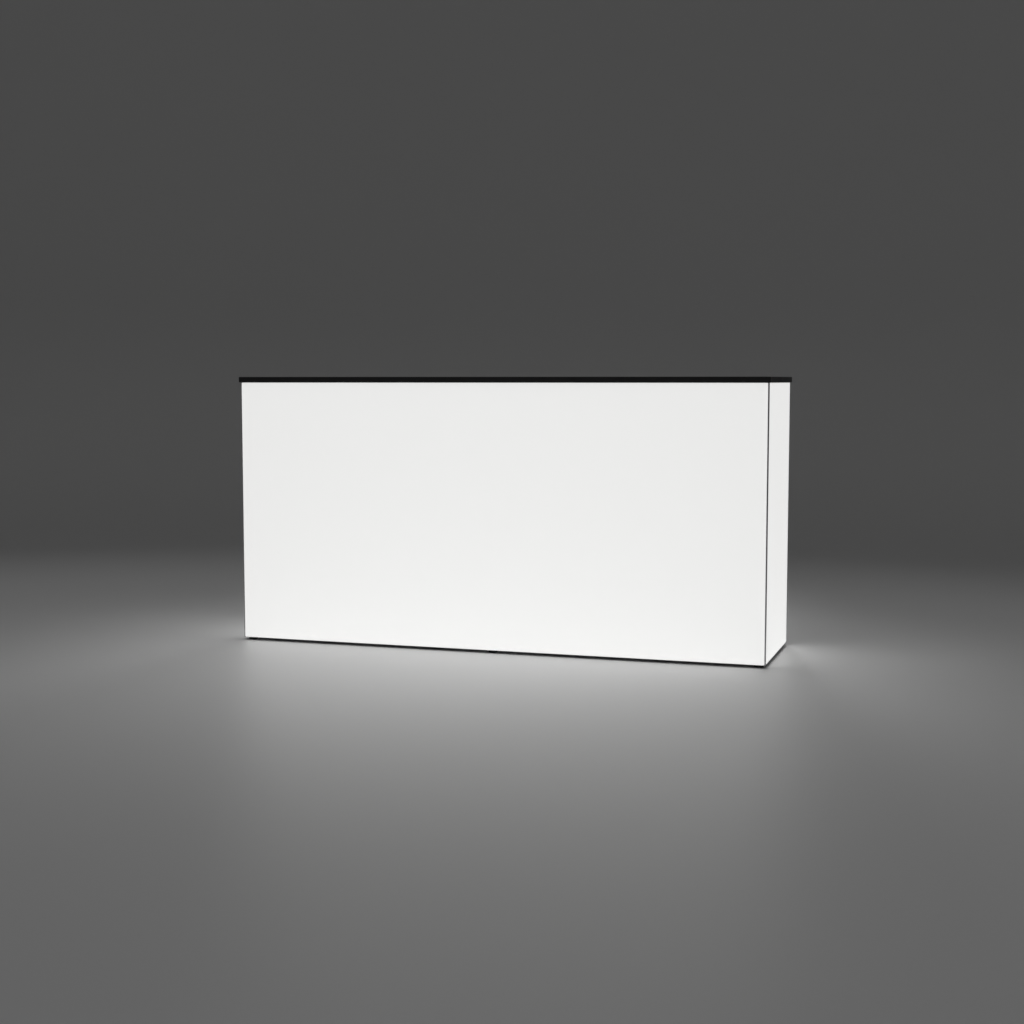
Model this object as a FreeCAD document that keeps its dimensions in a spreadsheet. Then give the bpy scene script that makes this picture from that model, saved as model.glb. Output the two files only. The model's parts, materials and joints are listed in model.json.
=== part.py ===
import FreeCAD, Part
import math
import os
import Sketcher

# Illuminated counter: an aluminium frame on levelling feet, textile skins stretched over a light space
# at the front and both ends, a black worktop, and storage with two lockable doors at the back.
# Millimetres. The origin is on the floor under the middle of the worktop, the public side faces -Y.

DIMENSIONS = (
    # overall sizes
    ("frame_width", 1988),            # outside of the frame, end to end
    ("frame_depth", 518),             # outside of the frame, front to back
    ("frame_height", 970),            # from the underside of the frame to the underside of the worktop
    ("foot_gap", 10),                 # clear height under the frame with the feet screwed in
    ("worktop_thickness", 20),
    ("worktop_overhang", 6),          # past the frame on all four sides
    ("worktop_round", 1.5),           # rounding of the worktop's edges
    # frame extrusions
    ("post_size", 36),                # side of a post, and depth of a rail
    ("rail_height", 30),
    ("tube_wall", 2),
    ("post_lip", 3),                  # aluminium left outside a groove on the posts
    ("rail_lip", 1.2),                # the same on the rails
    ("groove_width", 3.4),
    ("groove_depth", 13),
    ("groove_wall", 1.6),             # inner wall of a groove, which the skin lies on
    ("groove_floor", 2),
    ("notch_gap", 0.2),               # between a rail's nose and the post behind it
    ("mullion_offset", 320),          # middle of a mullion from the middle of the counter
    # connectors between rails and posts
    ("connector_length", 32),
    ("connector_gap", 0.2),           # round a connector in its tube
    ("dowel_radius", 4),
    ("dowel_reach", 3),               # past the inside of the wall the dowel enters
    ("dowel_gap", 0.1),
    ("bolt_radius", 2.5),
    ("bolt_grip", 10),                # length past the tube wall
    ("bolt_head_radius", 4.5),
    ("bolt_head_height", 2),
    ("bolt_gap", 0.1),
    ("bolt_level", 10),               # bolt above the bottom, or below the top, of the frame
    # levelling feet
    ("stud_radius", 4),
    ("stud_gap", 0.05),
    ("insert_height", 10),
    ("insert_length", 30),            # of an insert inside a rail
    ("pad_radius", 16),
    ("pad_height", 6),
    ("pad_bevel", 1.5),
    ("collar_radius", 7),
    ("collar_clearance", 0.3),        # between a foot's collar and the frame
    # textile skins
    ("fabric_thickness", 0.5),
    ("fabric_recess", 0.6),           # outer face of a skin behind the lips
    ("fabric_gap", 0.2),              # edge of a skin from a lip
    ("keder_thickness", 3),
    ("keder_gap", 0.4),               # keder from the groove's floor
    # boards
    ("light_depth", 90),              # from the frame's outside to a liner
    ("liner_thickness", 3),
    ("floor_thickness", 12),
    ("board_gap", 1),                 # between boards and the frame or each other
    ("divider_thickness", 16),
    ("shelf_thickness", 16),
    ("shelf_level", 500),             # top of a shelf above the floor
    ("shelf_setback", 30),            # rear edge of a shelf from the frame's rear tubes
    # angle strips and angle brackets
    ("strip_leg", 12),
    ("strip_thickness", 2),
    ("strip_clear", 60),              # floor strips stop this far from the posts
    ("bracket_leg", 25),
    ("bracket_width", 25),
    ("bracket_thickness", 2),
    ("bracket_spacing", 620),         # worktop brackets along a rail
    ("shelf_bracket_inset", 50),      # shelf bracket from the shelf's front or rear edge
    ("screw_radius", 2),
    ("screw_head_radius", 4),
    ("screw_head_height", 2),
    ("screw_length", 12),
    ("screw_gap", 0.1),
    # rear doors
    ("door_thickness", 16),
    ("door_gap", 3),                  # above and below a door
    ("door_free_gap", 2),             # between a door and its mullion
    ("door_round", 1),
    ("stop_gap", 0.4),                # between a closed door and its stop strip
    ("hinge_inset", 7),               # hinge axis from the rear of the frame
    ("hinge_height", 64),
    ("hinge_end", 130),               # middle of a hinge from the door's end
    ("hinge_side_gap", 1),            # between a door's edge and the hinge leaf on the post
    ("knuckle_radius", 4),
    ("knuckle_gap", 0.3),
    ("pin_radius", 2),
    ("pin_gap", 0.05),
    ("leaf_thickness", 2),
    ("frame_leaf_width", 22),
    ("door_leaf_width", 26),
    # knob and cam lock
    ("handle_edge", 32),              # knob and lock from the door's free edge
    ("knob_drop", 147),               # knob below the door's upper edge
    ("knob_radius", 13),
    ("knob_neck_radius", 7),
    ("knob_height", 15),
    ("knob_head_height", 7),
    ("knob_bevel", 2),
    ("lock_drop", 60),                # lock below the knob
    ("barrel_radius", 9),
    ("barrel_gap", 0.2),
    ("barrel_flange_radius", 11.5),
    ("barrel_flange_height", 2),
    ("barrel_tail", 2.2),             # barrel past the inside of the door
    ("nut_across", 24),
    ("nut_height", 2),
    ("plug_radius", 6),
    ("plug_gap", 0.05),
    ("plug_recess", 0.5),
    ("key_slot_width", 1.6),
    ("key_slot_length", 8),
    ("key_slot_depth", 3),
    ("cam_gap", 0.5),                 # between the cam and the stop strip
    ("cam_thickness", 3),
    ("cam_width", 14),
    ("cam_length", 30),
    # lighting
    ("led_end_gap", 15),              # LED bar from the posts
    ("carrier_width", 18),
    ("carrier_height", 8),
    ("carrier_floor", 4),
    ("led_board_width", 12),
    ("led_board_gap", 0.3),
    ("led_board_thickness", 1.6),
    ("lens_pitch", 90),
    ("lens_base_radius", 5.5),
    ("lens_top_radius", 4),
    ("lens_height", 6),
    ("supply_offset", 70),            # power supplies from the middle of the counter
    ("supply_length", 220),
    ("supply_width", 68),
    ("supply_height", 39),
    ("supply_fins", 6),
    ("supply_fin_depth", 4),
    ("supply_tab_length", 12),
    ("supply_tab_thickness", 2.5),
    ("cable_radius", 3.5),
    ("cable_bend", 25),               # bend radius at the middle of a cable
    ("cable_hole_gap", 0.6),
    ("cable_level", 20),              # cables above the floor board at the power supplies
    # rear panel, mains inlet and switch
    ("panel_thickness", 3),
    ("vent_width", 60),
    ("vent_height", 5),
    ("vent_pitch", 12),
    ("vent_rows", 8),
    ("vent_columns", 3),
    ("vent_column_pitch", 90),
    ("vent_top", 35),                 # highest vent row below the panel's upper edge
    ("inlet_level", 110),             # middle of the inlet above the floor
    ("inlet_width", 62),
    ("inlet_height", 32),
    ("inlet_flange", 2.5),
    ("inlet_rim", 3),                 # flange beyond the inlet's body
    ("inlet_fit", 0.2),               # inlet's body in the panel's cut-out
    ("inlet_depth", 26),
    ("socket_offset", 14),            # middle of the socket from the middle of the inlet
    ("socket_width", 24),
    ("socket_height", 16.5),
    ("socket_corner", 5),
    ("socket_depth", 17),
    ("contact_pitch", 7),
    ("contact_width", 2),
    ("contact_height", 4),
    ("contact_length", 12),
    ("contact_offset", 2.5),          # line and neutral above, earth below the socket's middle
    ("switch_offset", 17),            # middle of the switch from the middle of the inlet
    ("switch_width", 12.4),
    ("switch_half", 8.9),             # half the length of the rocker
    ("switch_gap", 0.4),
    ("switch_axis_depth", 2),         # rocker's axis behind the flange's face
    ("switch_rise", 2.2),
    ("switch_dip", 0.9),
    ("switch_skirt", 4),
    ("switch_tilt", 8),               # degrees to either side of the middle
    ("trunnion_radius", 1.2),
    ("trunnion_gap", 0.05),
    ("trunnion_reach", 1),
)

document = FreeCAD.newDocument("illuminated_counter")
sheet = document.addObject("Spreadsheet::Sheet", "Dim")
for row, (alias, number) in enumerate(DIMENSIONS, start=1):
    sheet.set(f"A{row}", alias)
    sheet.set(f"B{row}", str(number))
    sheet.setAlias(f"B{row}", alias)
document.recompute()


class Size:
    """A length in the sheet, or arithmetic on such lengths, kept as a FreeCAD expression."""

    def __init__(self, text):
        self.text = str(text)

    def __add__(self, other):
        return Size(f"({self.text} + {text_of(other)})")

    def __radd__(self, other):
        return Size(f"({text_of(other)} + {self.text})")

    def __sub__(self, other):
        return Size(f"({self.text} - {text_of(other)})")

    def __rsub__(self, other):
        return Size(f"({text_of(other)} - {self.text})")

    def __mul__(self, other):
        return Size(f"({self.text} * {text_of(other)})")

    __rmul__ = __mul__

    def __truediv__(self, other):
        return Size(f"({self.text} / {text_of(other)})")

    def __neg__(self):
        return Size(f"(0 - {self.text})")


class Dimensions:
    """Reads a sheet cell as a Size by its alias."""

    def __getattr__(self, alias):
        return Size(f"Dim.{alias}")


def text_of(size):
    return size.text if isinstance(size, Size) else str(size)


def value(size):
    return float(sheet.evalExpression(text_of(size)))


d = Dimensions()

# Planes and depths that several pieces share.
x_left = -d.frame_width / 2
x_right = d.frame_width / 2
y_front = -d.frame_depth / 2
y_rear = d.frame_depth / 2
z_low = d.foot_gap
z_high = d.foot_gap + d.frame_height
z_floor = z_low + d.rail_height                       # top of the bottom rails and of the floor board
z_head = z_high - d.rail_height                       # underside of the top rails
nose = d.groove_depth + d.groove_floor                # depth of a rail's grooved nose
core = nose + d.notch_gap                             # where the hollow core of a post starts
ledge = d.fabric_recess + d.fabric_thickness          # what a skin lies on
front_groove_end = d.post_lip + d.groove_width + d.groove_wall
side_groove = core + d.tube_wall                      # where the side groove of a front post starts
side_groove_end = side_groove + d.groove_width + d.groove_wall
chamber_middle = (nose + d.post_size - d.tube_wall) / 2
core_middle = (core + d.post_size) / 2
post_inside = x_left + d.post_size                    # inner face of the left posts
rear_inside = y_rear - d.post_size                    # inner face of the rear tubes
liner_face = y_front + d.light_depth                  # light side of the front liner
liner_back = liner_face + d.liner_thickness
mullion_left_face = -d.mullion_offset - d.post_size / 2
hinge_x = post_inside + d.knuckle_radius
hinge_y = y_rear - d.hinge_inset
door_back = hinge_y - d.knuckle_radius                # rear face of doors and rear panel
door_inside = door_back - d.door_thickness
door_low = z_floor + d.door_gap
door_high = z_head - d.door_gap
door_edge = post_inside + d.leaf_thickness + d.hinge_side_gap
door_free = mullion_left_face - d.door_free_gap
handle_x = door_free - d.handle_edge
knob_level = door_high - d.knob_drop
lock_level = knob_level - d.lock_drop
stop_face = door_inside - d.stop_gap                  # stop strips start here
inlet_x = d.socket_offset - d.supply_offset           # middle of the mains inlet
inlet_back = door_back - d.inlet_depth
supply_front = (liner_back + inlet_back - d.supply_length) / 2
cable_z = z_floor + d.cable_level

ORIGIN = FreeCAD.Vector(0, 0, 0)
UPRIGHT = FreeCAD.Rotation()
X_AXIS = FreeCAD.Vector(1, 0, 0)
Y_AXIS = FreeCAD.Vector(0, 1, 0)
Z_AXIS = FreeCAD.Vector(0, 0, 1)
TURNS = {
    "x": FreeCAD.Rotation(Y_AXIS, 90),
    "-x": FreeCAD.Rotation(Y_AXIS, -90),
    "y": FreeCAD.Rotation(X_AXIS, -90),
    "-y": FreeCAD.Rotation(X_AXIS, 90),
    "z": UPRIGHT,
    "-z": FreeCAD.Rotation(X_AXIS, 180),
}
# parts of a cable's run that one bend may take up
END_RUN_SHARE = 0.9
MIDDLE_RUN_SHARE = 0.45

OPPOSITE = {"x": "-x", "-x": "x", "y": "-y", "-y": "y", "z": "-z", "-z": "z"}

pieces = []


def bind(thing, **sizes):
    """Binds properties of an object to sizes."""
    for name, size in sizes.items():
        thing.setExpression(name, text_of(size))


def place(thing, at, turn=UPRIGHT):
    """Puts an object at a point given by three sizes, turned by a fixed rotation."""
    thing.Placement = FreeCAD.Placement(ORIGIN, turn)
    for axis, size in zip("xyz", at):
        thing.setExpression(f"Placement.Base.{axis}", text_of(size))
    return thing


def keep(thing, label):
    """Names an object and keeps it as a piece of the counter."""
    thing.Label = label
    pieces.append(thing)
    return thing


def make_body(name):
    return document.addObject("PartDesign::Body", name)


def plane_of(body, role):
    return next(plane for plane in body.Origin.OriginFeatures if plane.Role == role)


def draw(body, role, *outlines):
    """Sketches closed outlines on an origin plane; each corner is a pair of sizes."""
    sketch = body.newObject("Sketcher::SketchObject", "Profile")
    sketch.AttachmentSupport = [(plane_of(body, role), "")]
    sketch.MapMode = "FlatFace"
    for outline in outlines:
        first = sketch.GeometryCount
        count = len(outline)
        corners = [FreeCAD.Vector(value(across), value(up), 0) for across, up in outline]
        for index in range(count):
            sketch.addGeometry(Part.LineSegment(corners[index], corners[(index + 1) % count]), False)
        for index in range(count):
            following = first + (index + 1) % count
            sketch.addConstraint(Sketcher.Constraint("Coincident", first + index, 2, following, 1))
        for index, (across, up) in enumerate(outline):
            fix_point(sketch, first + index, "DistanceX", across)
            fix_point(sketch, first + index, "DistanceY", up)
    return sketch


def fix_point(sketch, line, direction, size):
    """Fixes the start of a sketch line at a distance from the sketch's origin."""
    constraint = sketch.addConstraint(Sketcher.Constraint(direction, line, 1, value(size)))
    sketch.setExpression(f"Constraints[{constraint}]", text_of(size))


def rectangle(left, low, right, high):
    return [(left, low), (right, low), (right, high), (left, high)]


def pad(body, sketch, length, reverse=False):
    feature = body.newObject("PartDesign::Pad", "Pad")
    feature.Profile = sketch
    feature.Reversed = reverse
    bind(feature, Length=length)
    return feature


def pocket(body, sketch, length, reverse=False):
    feature = body.newObject("PartDesign::Pocket", "Pocket")
    feature.Profile = sketch
    feature.Reversed = reverse
    bind(feature, Length=length)
    return feature


def revolve(body, sketch):
    """Turns a profile once round the sketch's vertical axis."""
    feature = body.newObject("PartDesign::Revolution", "Revolution")
    feature.Profile = sketch
    feature.ReferenceAxis = (sketch, ["V_Axis"])
    feature.Angle = 360
    return feature


def cut_block(body, at, size):
    """Mills a block out of a body, in the body's own frame."""
    feature = body.newObject("PartDesign::SubtractiveBox", "Mill")
    bind(feature, Length=size[0], Width=size[1], Height=size[2])
    return place(feature, at)


def add_block(body, at, size):
    feature = body.newObject("PartDesign::AdditiveBox", "Block")
    bind(feature, Length=size[0], Width=size[1], Height=size[2])
    return place(feature, at)


def drill(body, at, direction, radius, length):
    """Drills a round hole into a body, in the body's own frame."""
    feature = body.newObject("PartDesign::SubtractiveCylinder", "Drill")
    bind(feature, Radius=radius, Height=length)
    return place(feature, at, TURNS[direction])


def block(at, size):
    thing = document.addObject("Part::Box", "Block")
    bind(thing, Length=size[0], Width=size[1], Height=size[2])
    return place(thing, at)


def slab(low, high):
    """A block between two corners."""
    return block(low, [top - bottom for bottom, top in zip(low, high)])


def rod(at, direction, radius, length):
    thing = document.addObject("Part::Cylinder", "Rod")
    bind(thing, Radius=radius, Height=length)
    return place(thing, at, TURNS[direction])


def fuse(*members):
    thing = document.addObject("Part::MultiFuse", "Fusion")
    thing.Shapes = list(members)
    return thing


def cut(base, *tools):
    thing = base
    for tool in tools:
        result = document.addObject("Part::Cut", "Cut")
        result.Base = thing
        result.Tool = tool
        thing = result
    return thing


def group(members):
    thing = document.addObject("Part::Compound", "Group")
    thing.Links = list(members)
    return thing


def mirrored(source):
    """The same piece on the other side of the counter's middle."""
    thing = document.addObject("Part::Mirroring", "Mirror")
    thing.Source = source
    thing.Base = ORIGIN
    thing.Normal = X_AXIS
    return thing


def both_sides(members):
    half = group(members)
    return group([half, mirrored(half)])


def moved(point, direction, distance):
    """A point moved by a distance along an axis direction such as "-y"."""
    sign = -1 if direction.startswith("-") else 1
    index = "xyz".index(direction[-1])
    return [size + sign * distance if axis == index else size for axis, size in enumerate(point)]


# Frame


def front_post():
    """Left front corner: one groove for the front skin, and behind it one for the end skin."""
    body = make_body("FrontPost")
    outline = [
        (0, 0),
        (d.post_lip, 0),
        (d.post_lip, d.groove_depth),
        (d.post_lip + d.groove_width, d.groove_depth),
        (d.post_lip + d.groove_width, ledge),
        (front_groove_end, ledge),
        (front_groove_end, core),
        (d.post_size, core),
        (d.post_size, d.post_size),
        (core, d.post_size),
        (core, side_groove_end),
        (ledge, side_groove_end),
        (ledge, side_groove + d.groove_width),
        (d.groove_depth, side_groove + d.groove_width),
        (d.groove_depth, side_groove),
        (0, side_groove),
    ]
    near = core + d.tube_wall
    far = d.post_size - d.tube_wall
    pad(body, draw(body, "XY_Plane", outline, rectangle(near, near, far, far)), d.frame_height)
    radius = d.dowel_radius + d.dowel_gap
    for level in rail_middles():
        drill(body, (far, chamber_middle, level), "x", radius, d.tube_wall)
        drill(body, (chamber_middle, far, level), "y", radius, d.tube_wall)
    return place(body, (x_left, y_front, z_low))


def rear_post():
    """Left rear corner: one groove for the end skin."""
    body = make_body("RearPost")
    groove_end = d.post_size - d.post_lip
    groove_start = groove_end - d.groove_width
    outline = [
        (core, 0),
        (d.post_size, 0),
        (d.post_size, d.post_size),
        (0, d.post_size),
        (0, groove_end),
        (d.groove_depth, groove_end),
        (d.groove_depth, groove_start),
        (ledge, groove_start),
        (ledge, groove_start - d.groove_wall),
        (core, groove_start - d.groove_wall),
    ]
    far = d.post_size - d.tube_wall
    hollow = rectangle(core + d.tube_wall, d.tube_wall, far, far)
    pad(body, draw(body, "XY_Plane", outline, hollow), d.frame_height)
    radius = d.dowel_radius + d.dowel_gap
    for level in rail_middles():
        drill(body, (far, d.post_size / 2, level), "x", radius, d.tube_wall)
        drill(body, (chamber_middle, 0, level), "y", radius, d.tube_wall)
    return place(body, (x_left, rear_inside, z_low))


def rail_middles():
    """Heights of the rails' middles above the lower end of a post."""
    return d.rail_height / 2, d.frame_height - d.rail_height / 2


def grooved_rail(name, length, start, end, side, at, turn=UPRIGHT):
    """A rail along its own X, with its nose past the tube by start and end; side is 1 below and -1 above."""
    body = make_body(name)
    groove_top = d.rail_lip + d.groove_width
    outline = [
        (0, 0),
        (d.post_size, 0),
        (d.post_size, d.rail_height),
        (d.groove_depth, d.rail_height),
        (d.groove_depth, groove_top + d.groove_wall),
        (ledge, groove_top + d.groove_wall),
        (ledge, groove_top),
        (d.groove_depth, groove_top),
        (d.groove_depth, d.rail_lip),
        (0, d.rail_lip),
    ]
    far = d.post_size - d.tube_wall
    hollow = rectangle(nose, d.tube_wall, far, d.rail_height - d.tube_wall)
    outlines = [[(across, side * up) for across, up in points] for points in (outline, hollow)]
    pad(body, draw(body, "YZ_Plane", *outlines), start + length + end)
    base = 0 if side > 0 else -d.rail_height
    for notch_at, notch in ((0, start), (start + length, end)):
        cut_block(body, (notch_at, nose, base), (notch, d.post_size - nose, d.rail_height))
    for bolt_at in (start + d.connector_length / 2, start + length - d.connector_length / 2):
        hole = d.bolt_radius + d.bolt_gap
        drill(body, (bolt_at, far, side * d.bolt_level), "y", hole, d.tube_wall)
    return place(body, at, turn)


def front_rail(name, side, level):
    run_past = d.post_size - front_groove_end - d.notch_gap
    length = d.frame_width - 2 * d.post_size
    at = (post_inside - run_past, y_front, level)
    return grooved_rail(name, length, run_past, run_past, side, at)


def left_rail(name, side, level):
    rear_past = d.post_size - front_groove_end - d.notch_gap
    front_past = d.post_size - side_groove_end - d.notch_gap
    length = d.frame_depth - 2 * d.post_size
    at = (x_left, rear_inside + rear_past, level)
    return grooved_rail(name, length, rear_past, front_past, side, at, FreeCAD.Rotation(Z_AXIS, -90))


def rear_rail(name, low):
    """A plain tube between the rear posts."""
    body = make_body(name)
    length = d.frame_width - 2 * d.post_size
    wall = d.tube_wall
    outer = rectangle(0, 0, d.post_size, d.rail_height)
    hollow = rectangle(wall, wall, d.post_size - wall, d.rail_height - wall)
    pad(body, draw(body, "YZ_Plane", outer, hollow), length)
    bolt_up = d.bolt_level if low else d.rail_height - d.bolt_level
    for bolt_at in (d.connector_length / 2, length - d.connector_length / 2):
        drill(body, (bolt_at, 0, bolt_up), "y", d.bolt_radius + d.bolt_gap, wall)
    dowel_wall = d.rail_height - wall if low else 0
    for offset in (-d.mullion_offset, d.mullion_offset):
        at = (length / 2 + offset, d.post_size / 2, dowel_wall)
        drill(body, at, "z", d.dowel_radius + d.dowel_gap, wall)
    return place(body, (post_inside, rear_inside, z_low if low else z_head))


def open_for_foot(body, along, across):
    """A hole in the underside of a rail for the stud of the foot below it."""
    drill(body, (along, across, 0), "z", d.stud_radius + 10 * d.stud_gap, d.tube_wall)


def open_for_screws(body, start, length, face):
    """Holes in the inner wall of a top rail for the screws of the worktop brackets."""
    for offset in bracket_offsets():
        at = (start + length / 2 + offset, face, bracket_screw_drop(body))
        drill(body, at, "y", d.screw_radius + d.screw_gap, d.tube_wall)


def bracket_offsets():
    return -d.bracket_spacing, Size(0), d.bracket_spacing


def bracket_screw_drop(body):
    """Height of a bracket's rail screw in a rail's own frame."""
    drop = -d.bracket_leg * 0.6
    return drop if body.Name.startswith("FrontTop") else d.rail_height + drop


def mullion():
    body = make_body("Mullion")
    wall = d.tube_wall
    outer = rectangle(0, 0, d.post_size, d.post_size)
    hollow = rectangle(wall, wall, d.post_size - wall, d.post_size - wall)
    pad(body, draw(body, "XY_Plane", outer, hollow), z_head - z_floor)
    return place(body, (mullion_left_face, rear_inside, z_floor))


def connector(low, high, dowel_at, dowel_direction, bolt_at=None, bolt_direction=None):
    """A block that fills a tube's end, with a dowel into the next piece and a hole for its bolt."""
    dowel = rod(dowel_at, dowel_direction, d.dowel_radius, d.tube_wall + d.dowel_reach)
    whole = fuse(slab(low, high), dowel)
    if bolt_at is None:
        return whole
    inward = OPPOSITE[bolt_direction]
    hole = rod(bolt_at, inward, d.bolt_radius + d.bolt_gap, d.tube_wall + d.bolt_grip + d.bolt_gap)
    return cut(whole, hole)


def connector_set():
    """Connectors and bolts of the left half of the frame."""
    gap = d.connector_gap
    inset = d.tube_wall + gap
    length = d.connector_length
    outer = nose + gap
    inner = d.post_size - inset
    blocks = []
    bolts = []

    def join(low, high, dowel_at, dowel_direction, bolt_at, bolt_direction):
        blocks.append(connector(low, high, dowel_at, dowel_direction, bolt_at, bolt_direction))
        bolts.append(bolt(bolt_at, bolt_direction))

    for base, bolt_z in ((z_low, z_low + d.bolt_level), (z_head, z_high - d.bolt_level)):
        bottom = base + inset
        top = base + d.rail_height - inset
        middle = base + d.rail_height / 2
        join(
            (post_inside, y_front + outer, bottom), (post_inside + length, y_front + inner, top),
            (post_inside, y_front + chamber_middle, middle), "-x",
            (post_inside + length / 2, y_front + d.post_size, bolt_z), "y",
        )
        front_end = y_front + d.post_size
        join(
            (x_left + outer, front_end, bottom), (x_left + inner, front_end + length, top),
            (x_left + chamber_middle, front_end, middle), "-y",
            (post_inside, front_end + length / 2, bolt_z), "x",
        )
        join(
            (x_left + outer, rear_inside - length, bottom), (x_left + inner, rear_inside, top),
            (x_left + chamber_middle, rear_inside, middle), "y",
            (post_inside, rear_inside - length / 2, bolt_z), "x",
        )
        join(
            (post_inside, rear_inside + inset, bottom), (post_inside + length, y_rear - inset, top),
            (post_inside, y_rear - d.post_size / 2, middle), "-x",
            (post_inside + length / 2, rear_inside, bolt_z), "-y",
        )
    near = mullion_left_face + inset
    far = mullion_left_face + d.post_size - inset
    dowel_xy = (-d.mullion_offset, y_rear - d.post_size / 2)
    for low, high, dowel_z, direction in (
        (z_floor, z_floor + length, z_floor, "-z"),
        (z_head - length, z_head, z_head, "z"),
    ):
        low_corner = (near, rear_inside + inset, low)
        high_corner = (far, y_rear - inset, high)
        blocks.append(connector(low_corner, high_corner, (*dowel_xy, dowel_z), direction))
    return blocks, bolts


def bolt(at, outward):
    """A pan-head bolt whose head lies on a face at a point."""
    shank = rod(at, OPPOSITE[outward], d.bolt_radius, d.tube_wall + d.bolt_grip)
    return fuse(rod(at, outward, d.bolt_head_radius, d.bolt_head_height), shank)


# Feet


def foot_places():
    """Foot name, and its middle."""
    front = y_front + core_middle
    rear = y_rear - d.post_size / 2
    side = x_left + core_middle
    return (
        ("front_left", side, front),
        ("front_middle", Size(0), y_front + chamber_middle),
        ("front_right", -side, front),
        ("rear_left", side, rear),
        ("rear_middle", Size(0), rear),
        ("rear_right", -side, rear),
    )


def foot(at_x, at_y):
    """A round pad, a collar under the frame, and the stud that screws into the frame."""
    body = make_body("Foot")
    neck = z_low - d.collar_clearance
    outline = [
        (0, 0),
        (d.pad_radius - d.pad_bevel, 0),
        (d.pad_radius, d.pad_bevel),
        (d.pad_radius, d.pad_height - d.pad_bevel),
        (d.pad_radius - d.pad_bevel, d.pad_height),
        (d.collar_radius, d.pad_height),
        (d.collar_radius, neck),
        (d.stud_radius, neck),
        (d.stud_radius, z_low + d.rail_height - 2 * d.tube_wall),
        (0, z_low + d.rail_height - 2 * d.tube_wall),
    ]
    revolve(body, draw(body, "XZ_Plane", outline))
    return place(body, (at_x, at_y, 0))


def insert(low, high, at_x, at_y):
    """A threaded block for one foot."""
    bore = rod((at_x, at_y, low[2]), "z", d.stud_radius + d.stud_gap, d.insert_height)
    return cut(slab(low, high), bore)


def insert_set():
    places = {name: (at_x, at_y) for name, at_x, at_y in foot_places()}
    gap = d.connector_gap
    inset = d.tube_wall + gap
    near = core + inset
    far = d.post_size - inset
    top = z_low + d.insert_height
    front = insert(
        (x_left + near, y_front + near, z_low), (x_left + far, y_front + far, top), *places["front_left"])
    rear = insert(
        (x_left + near, rear_inside + inset, z_low),
        (x_left + far, y_rear - inset, top),
        *places["rear_left"],
    )
    half = d.insert_length / 2
    low = z_low + d.tube_wall
    middles = []
    for name, near_y, far_y in (
        ("front_middle", y_front + nose + gap, y_front + far),
        ("rear_middle", rear_inside + inset, y_rear - inset),
    ):
        corner = (-half, near_y, low)
        middles.append(insert(corner, (half, far_y, low + d.insert_height), *places[name]))
    return group([both_sides([front, rear]), *middles])


# Textile skins


def front_skin():
    edge = d.post_lip + d.fabric_gap
    low = (x_left + edge, y_front + d.fabric_recess, z_low + d.rail_lip + d.fabric_gap)
    return slab(low, (x_right - edge, y_front + ledge, z_high - d.rail_lip - d.fabric_gap))


def left_skin():
    start = y_front + side_groove + d.fabric_gap
    low = (x_left + d.fabric_recess, start, z_low + d.rail_lip + d.fabric_gap)
    end = y_rear - d.post_lip - d.fabric_gap
    return slab(low, (x_left + ledge, end, z_high - d.rail_lip - d.fabric_gap))


def keders():
    """Edge strips of the three skins, each in the middle of its groove."""
    side_play = (d.groove_width - d.keder_thickness) / 2
    deep = d.groove_depth - d.keder_gap
    low = z_low + d.rail_lip
    high = z_high - d.rail_lip
    rail_rows = (low + side_play, high - side_play - d.keder_thickness)
    post_x = x_left + d.post_lip + side_play
    uprights = [slab((post_x, y_front + ledge, low), (post_x + d.keder_thickness, y_front + deep, high))]
    for groove_y in (y_front + side_groove + side_play, y_rear - d.post_lip - side_play - d.keder_thickness):
        corner = (x_left + ledge, groove_y, low)
        uprights.append(slab(corner, (x_left + deep, groove_y + d.keder_thickness, high)))
    front_end = front_groove_end + 2 * d.notch_gap
    side_start = y_front + side_groove_end + 2 * d.notch_gap
    lengthwise = []
    for row in rail_rows:
        corner = (x_left + ledge, side_start, row)
        uprights.append(slab(corner, (x_left + deep, y_rear - front_end, row + d.keder_thickness)))
        corner = (x_left + front_end, y_front + ledge, row)
        lengthwise.append(slab(corner, (x_right - front_end, y_front + deep, row + d.keder_thickness)))
    return group([both_sides(uprights), *lengthwise])


# Worktop and boards


def worktop():
    body = make_body("Worktop")
    right = x_right + d.worktop_overhang
    rear = y_rear + d.worktop_overhang
    pad(body, draw(body, "XY_Plane", rectangle(-right, -rear, right, rear)), d.worktop_thickness)
    round_edges(body, d.worktop_round)
    for at_x, at_y in worktop_screw_places():
        drill(body, (at_x, at_y, 0), "z", d.screw_radius + d.screw_gap, d.screw_length)
    return place(body, (0, 0, z_high))


def round_edges(body, radius):
    """Rounds every edge that a body has so far."""
    document.recompute()
    base = body.Tip
    names = [f"Edge{number}" for number in range(1, len(base.Shape.Edges) + 1)]
    feature = body.newObject("PartDesign::Fillet", "Round")
    feature.Base = (base, names)
    bind(feature, Radius=radius)
    return feature


def bracket_rows():
    """Face that the worktop brackets stand on, and the direction they point in."""
    return ((y_front + d.post_size, "y"), (rear_inside, "-y"))


def worktop_screw_places():
    for face, direction in bracket_rows():
        for offset in bracket_offsets():
            point = moved((offset, face, z_high), direction, d.bracket_leg * 0.6)
            yield point[0], point[1]


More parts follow.
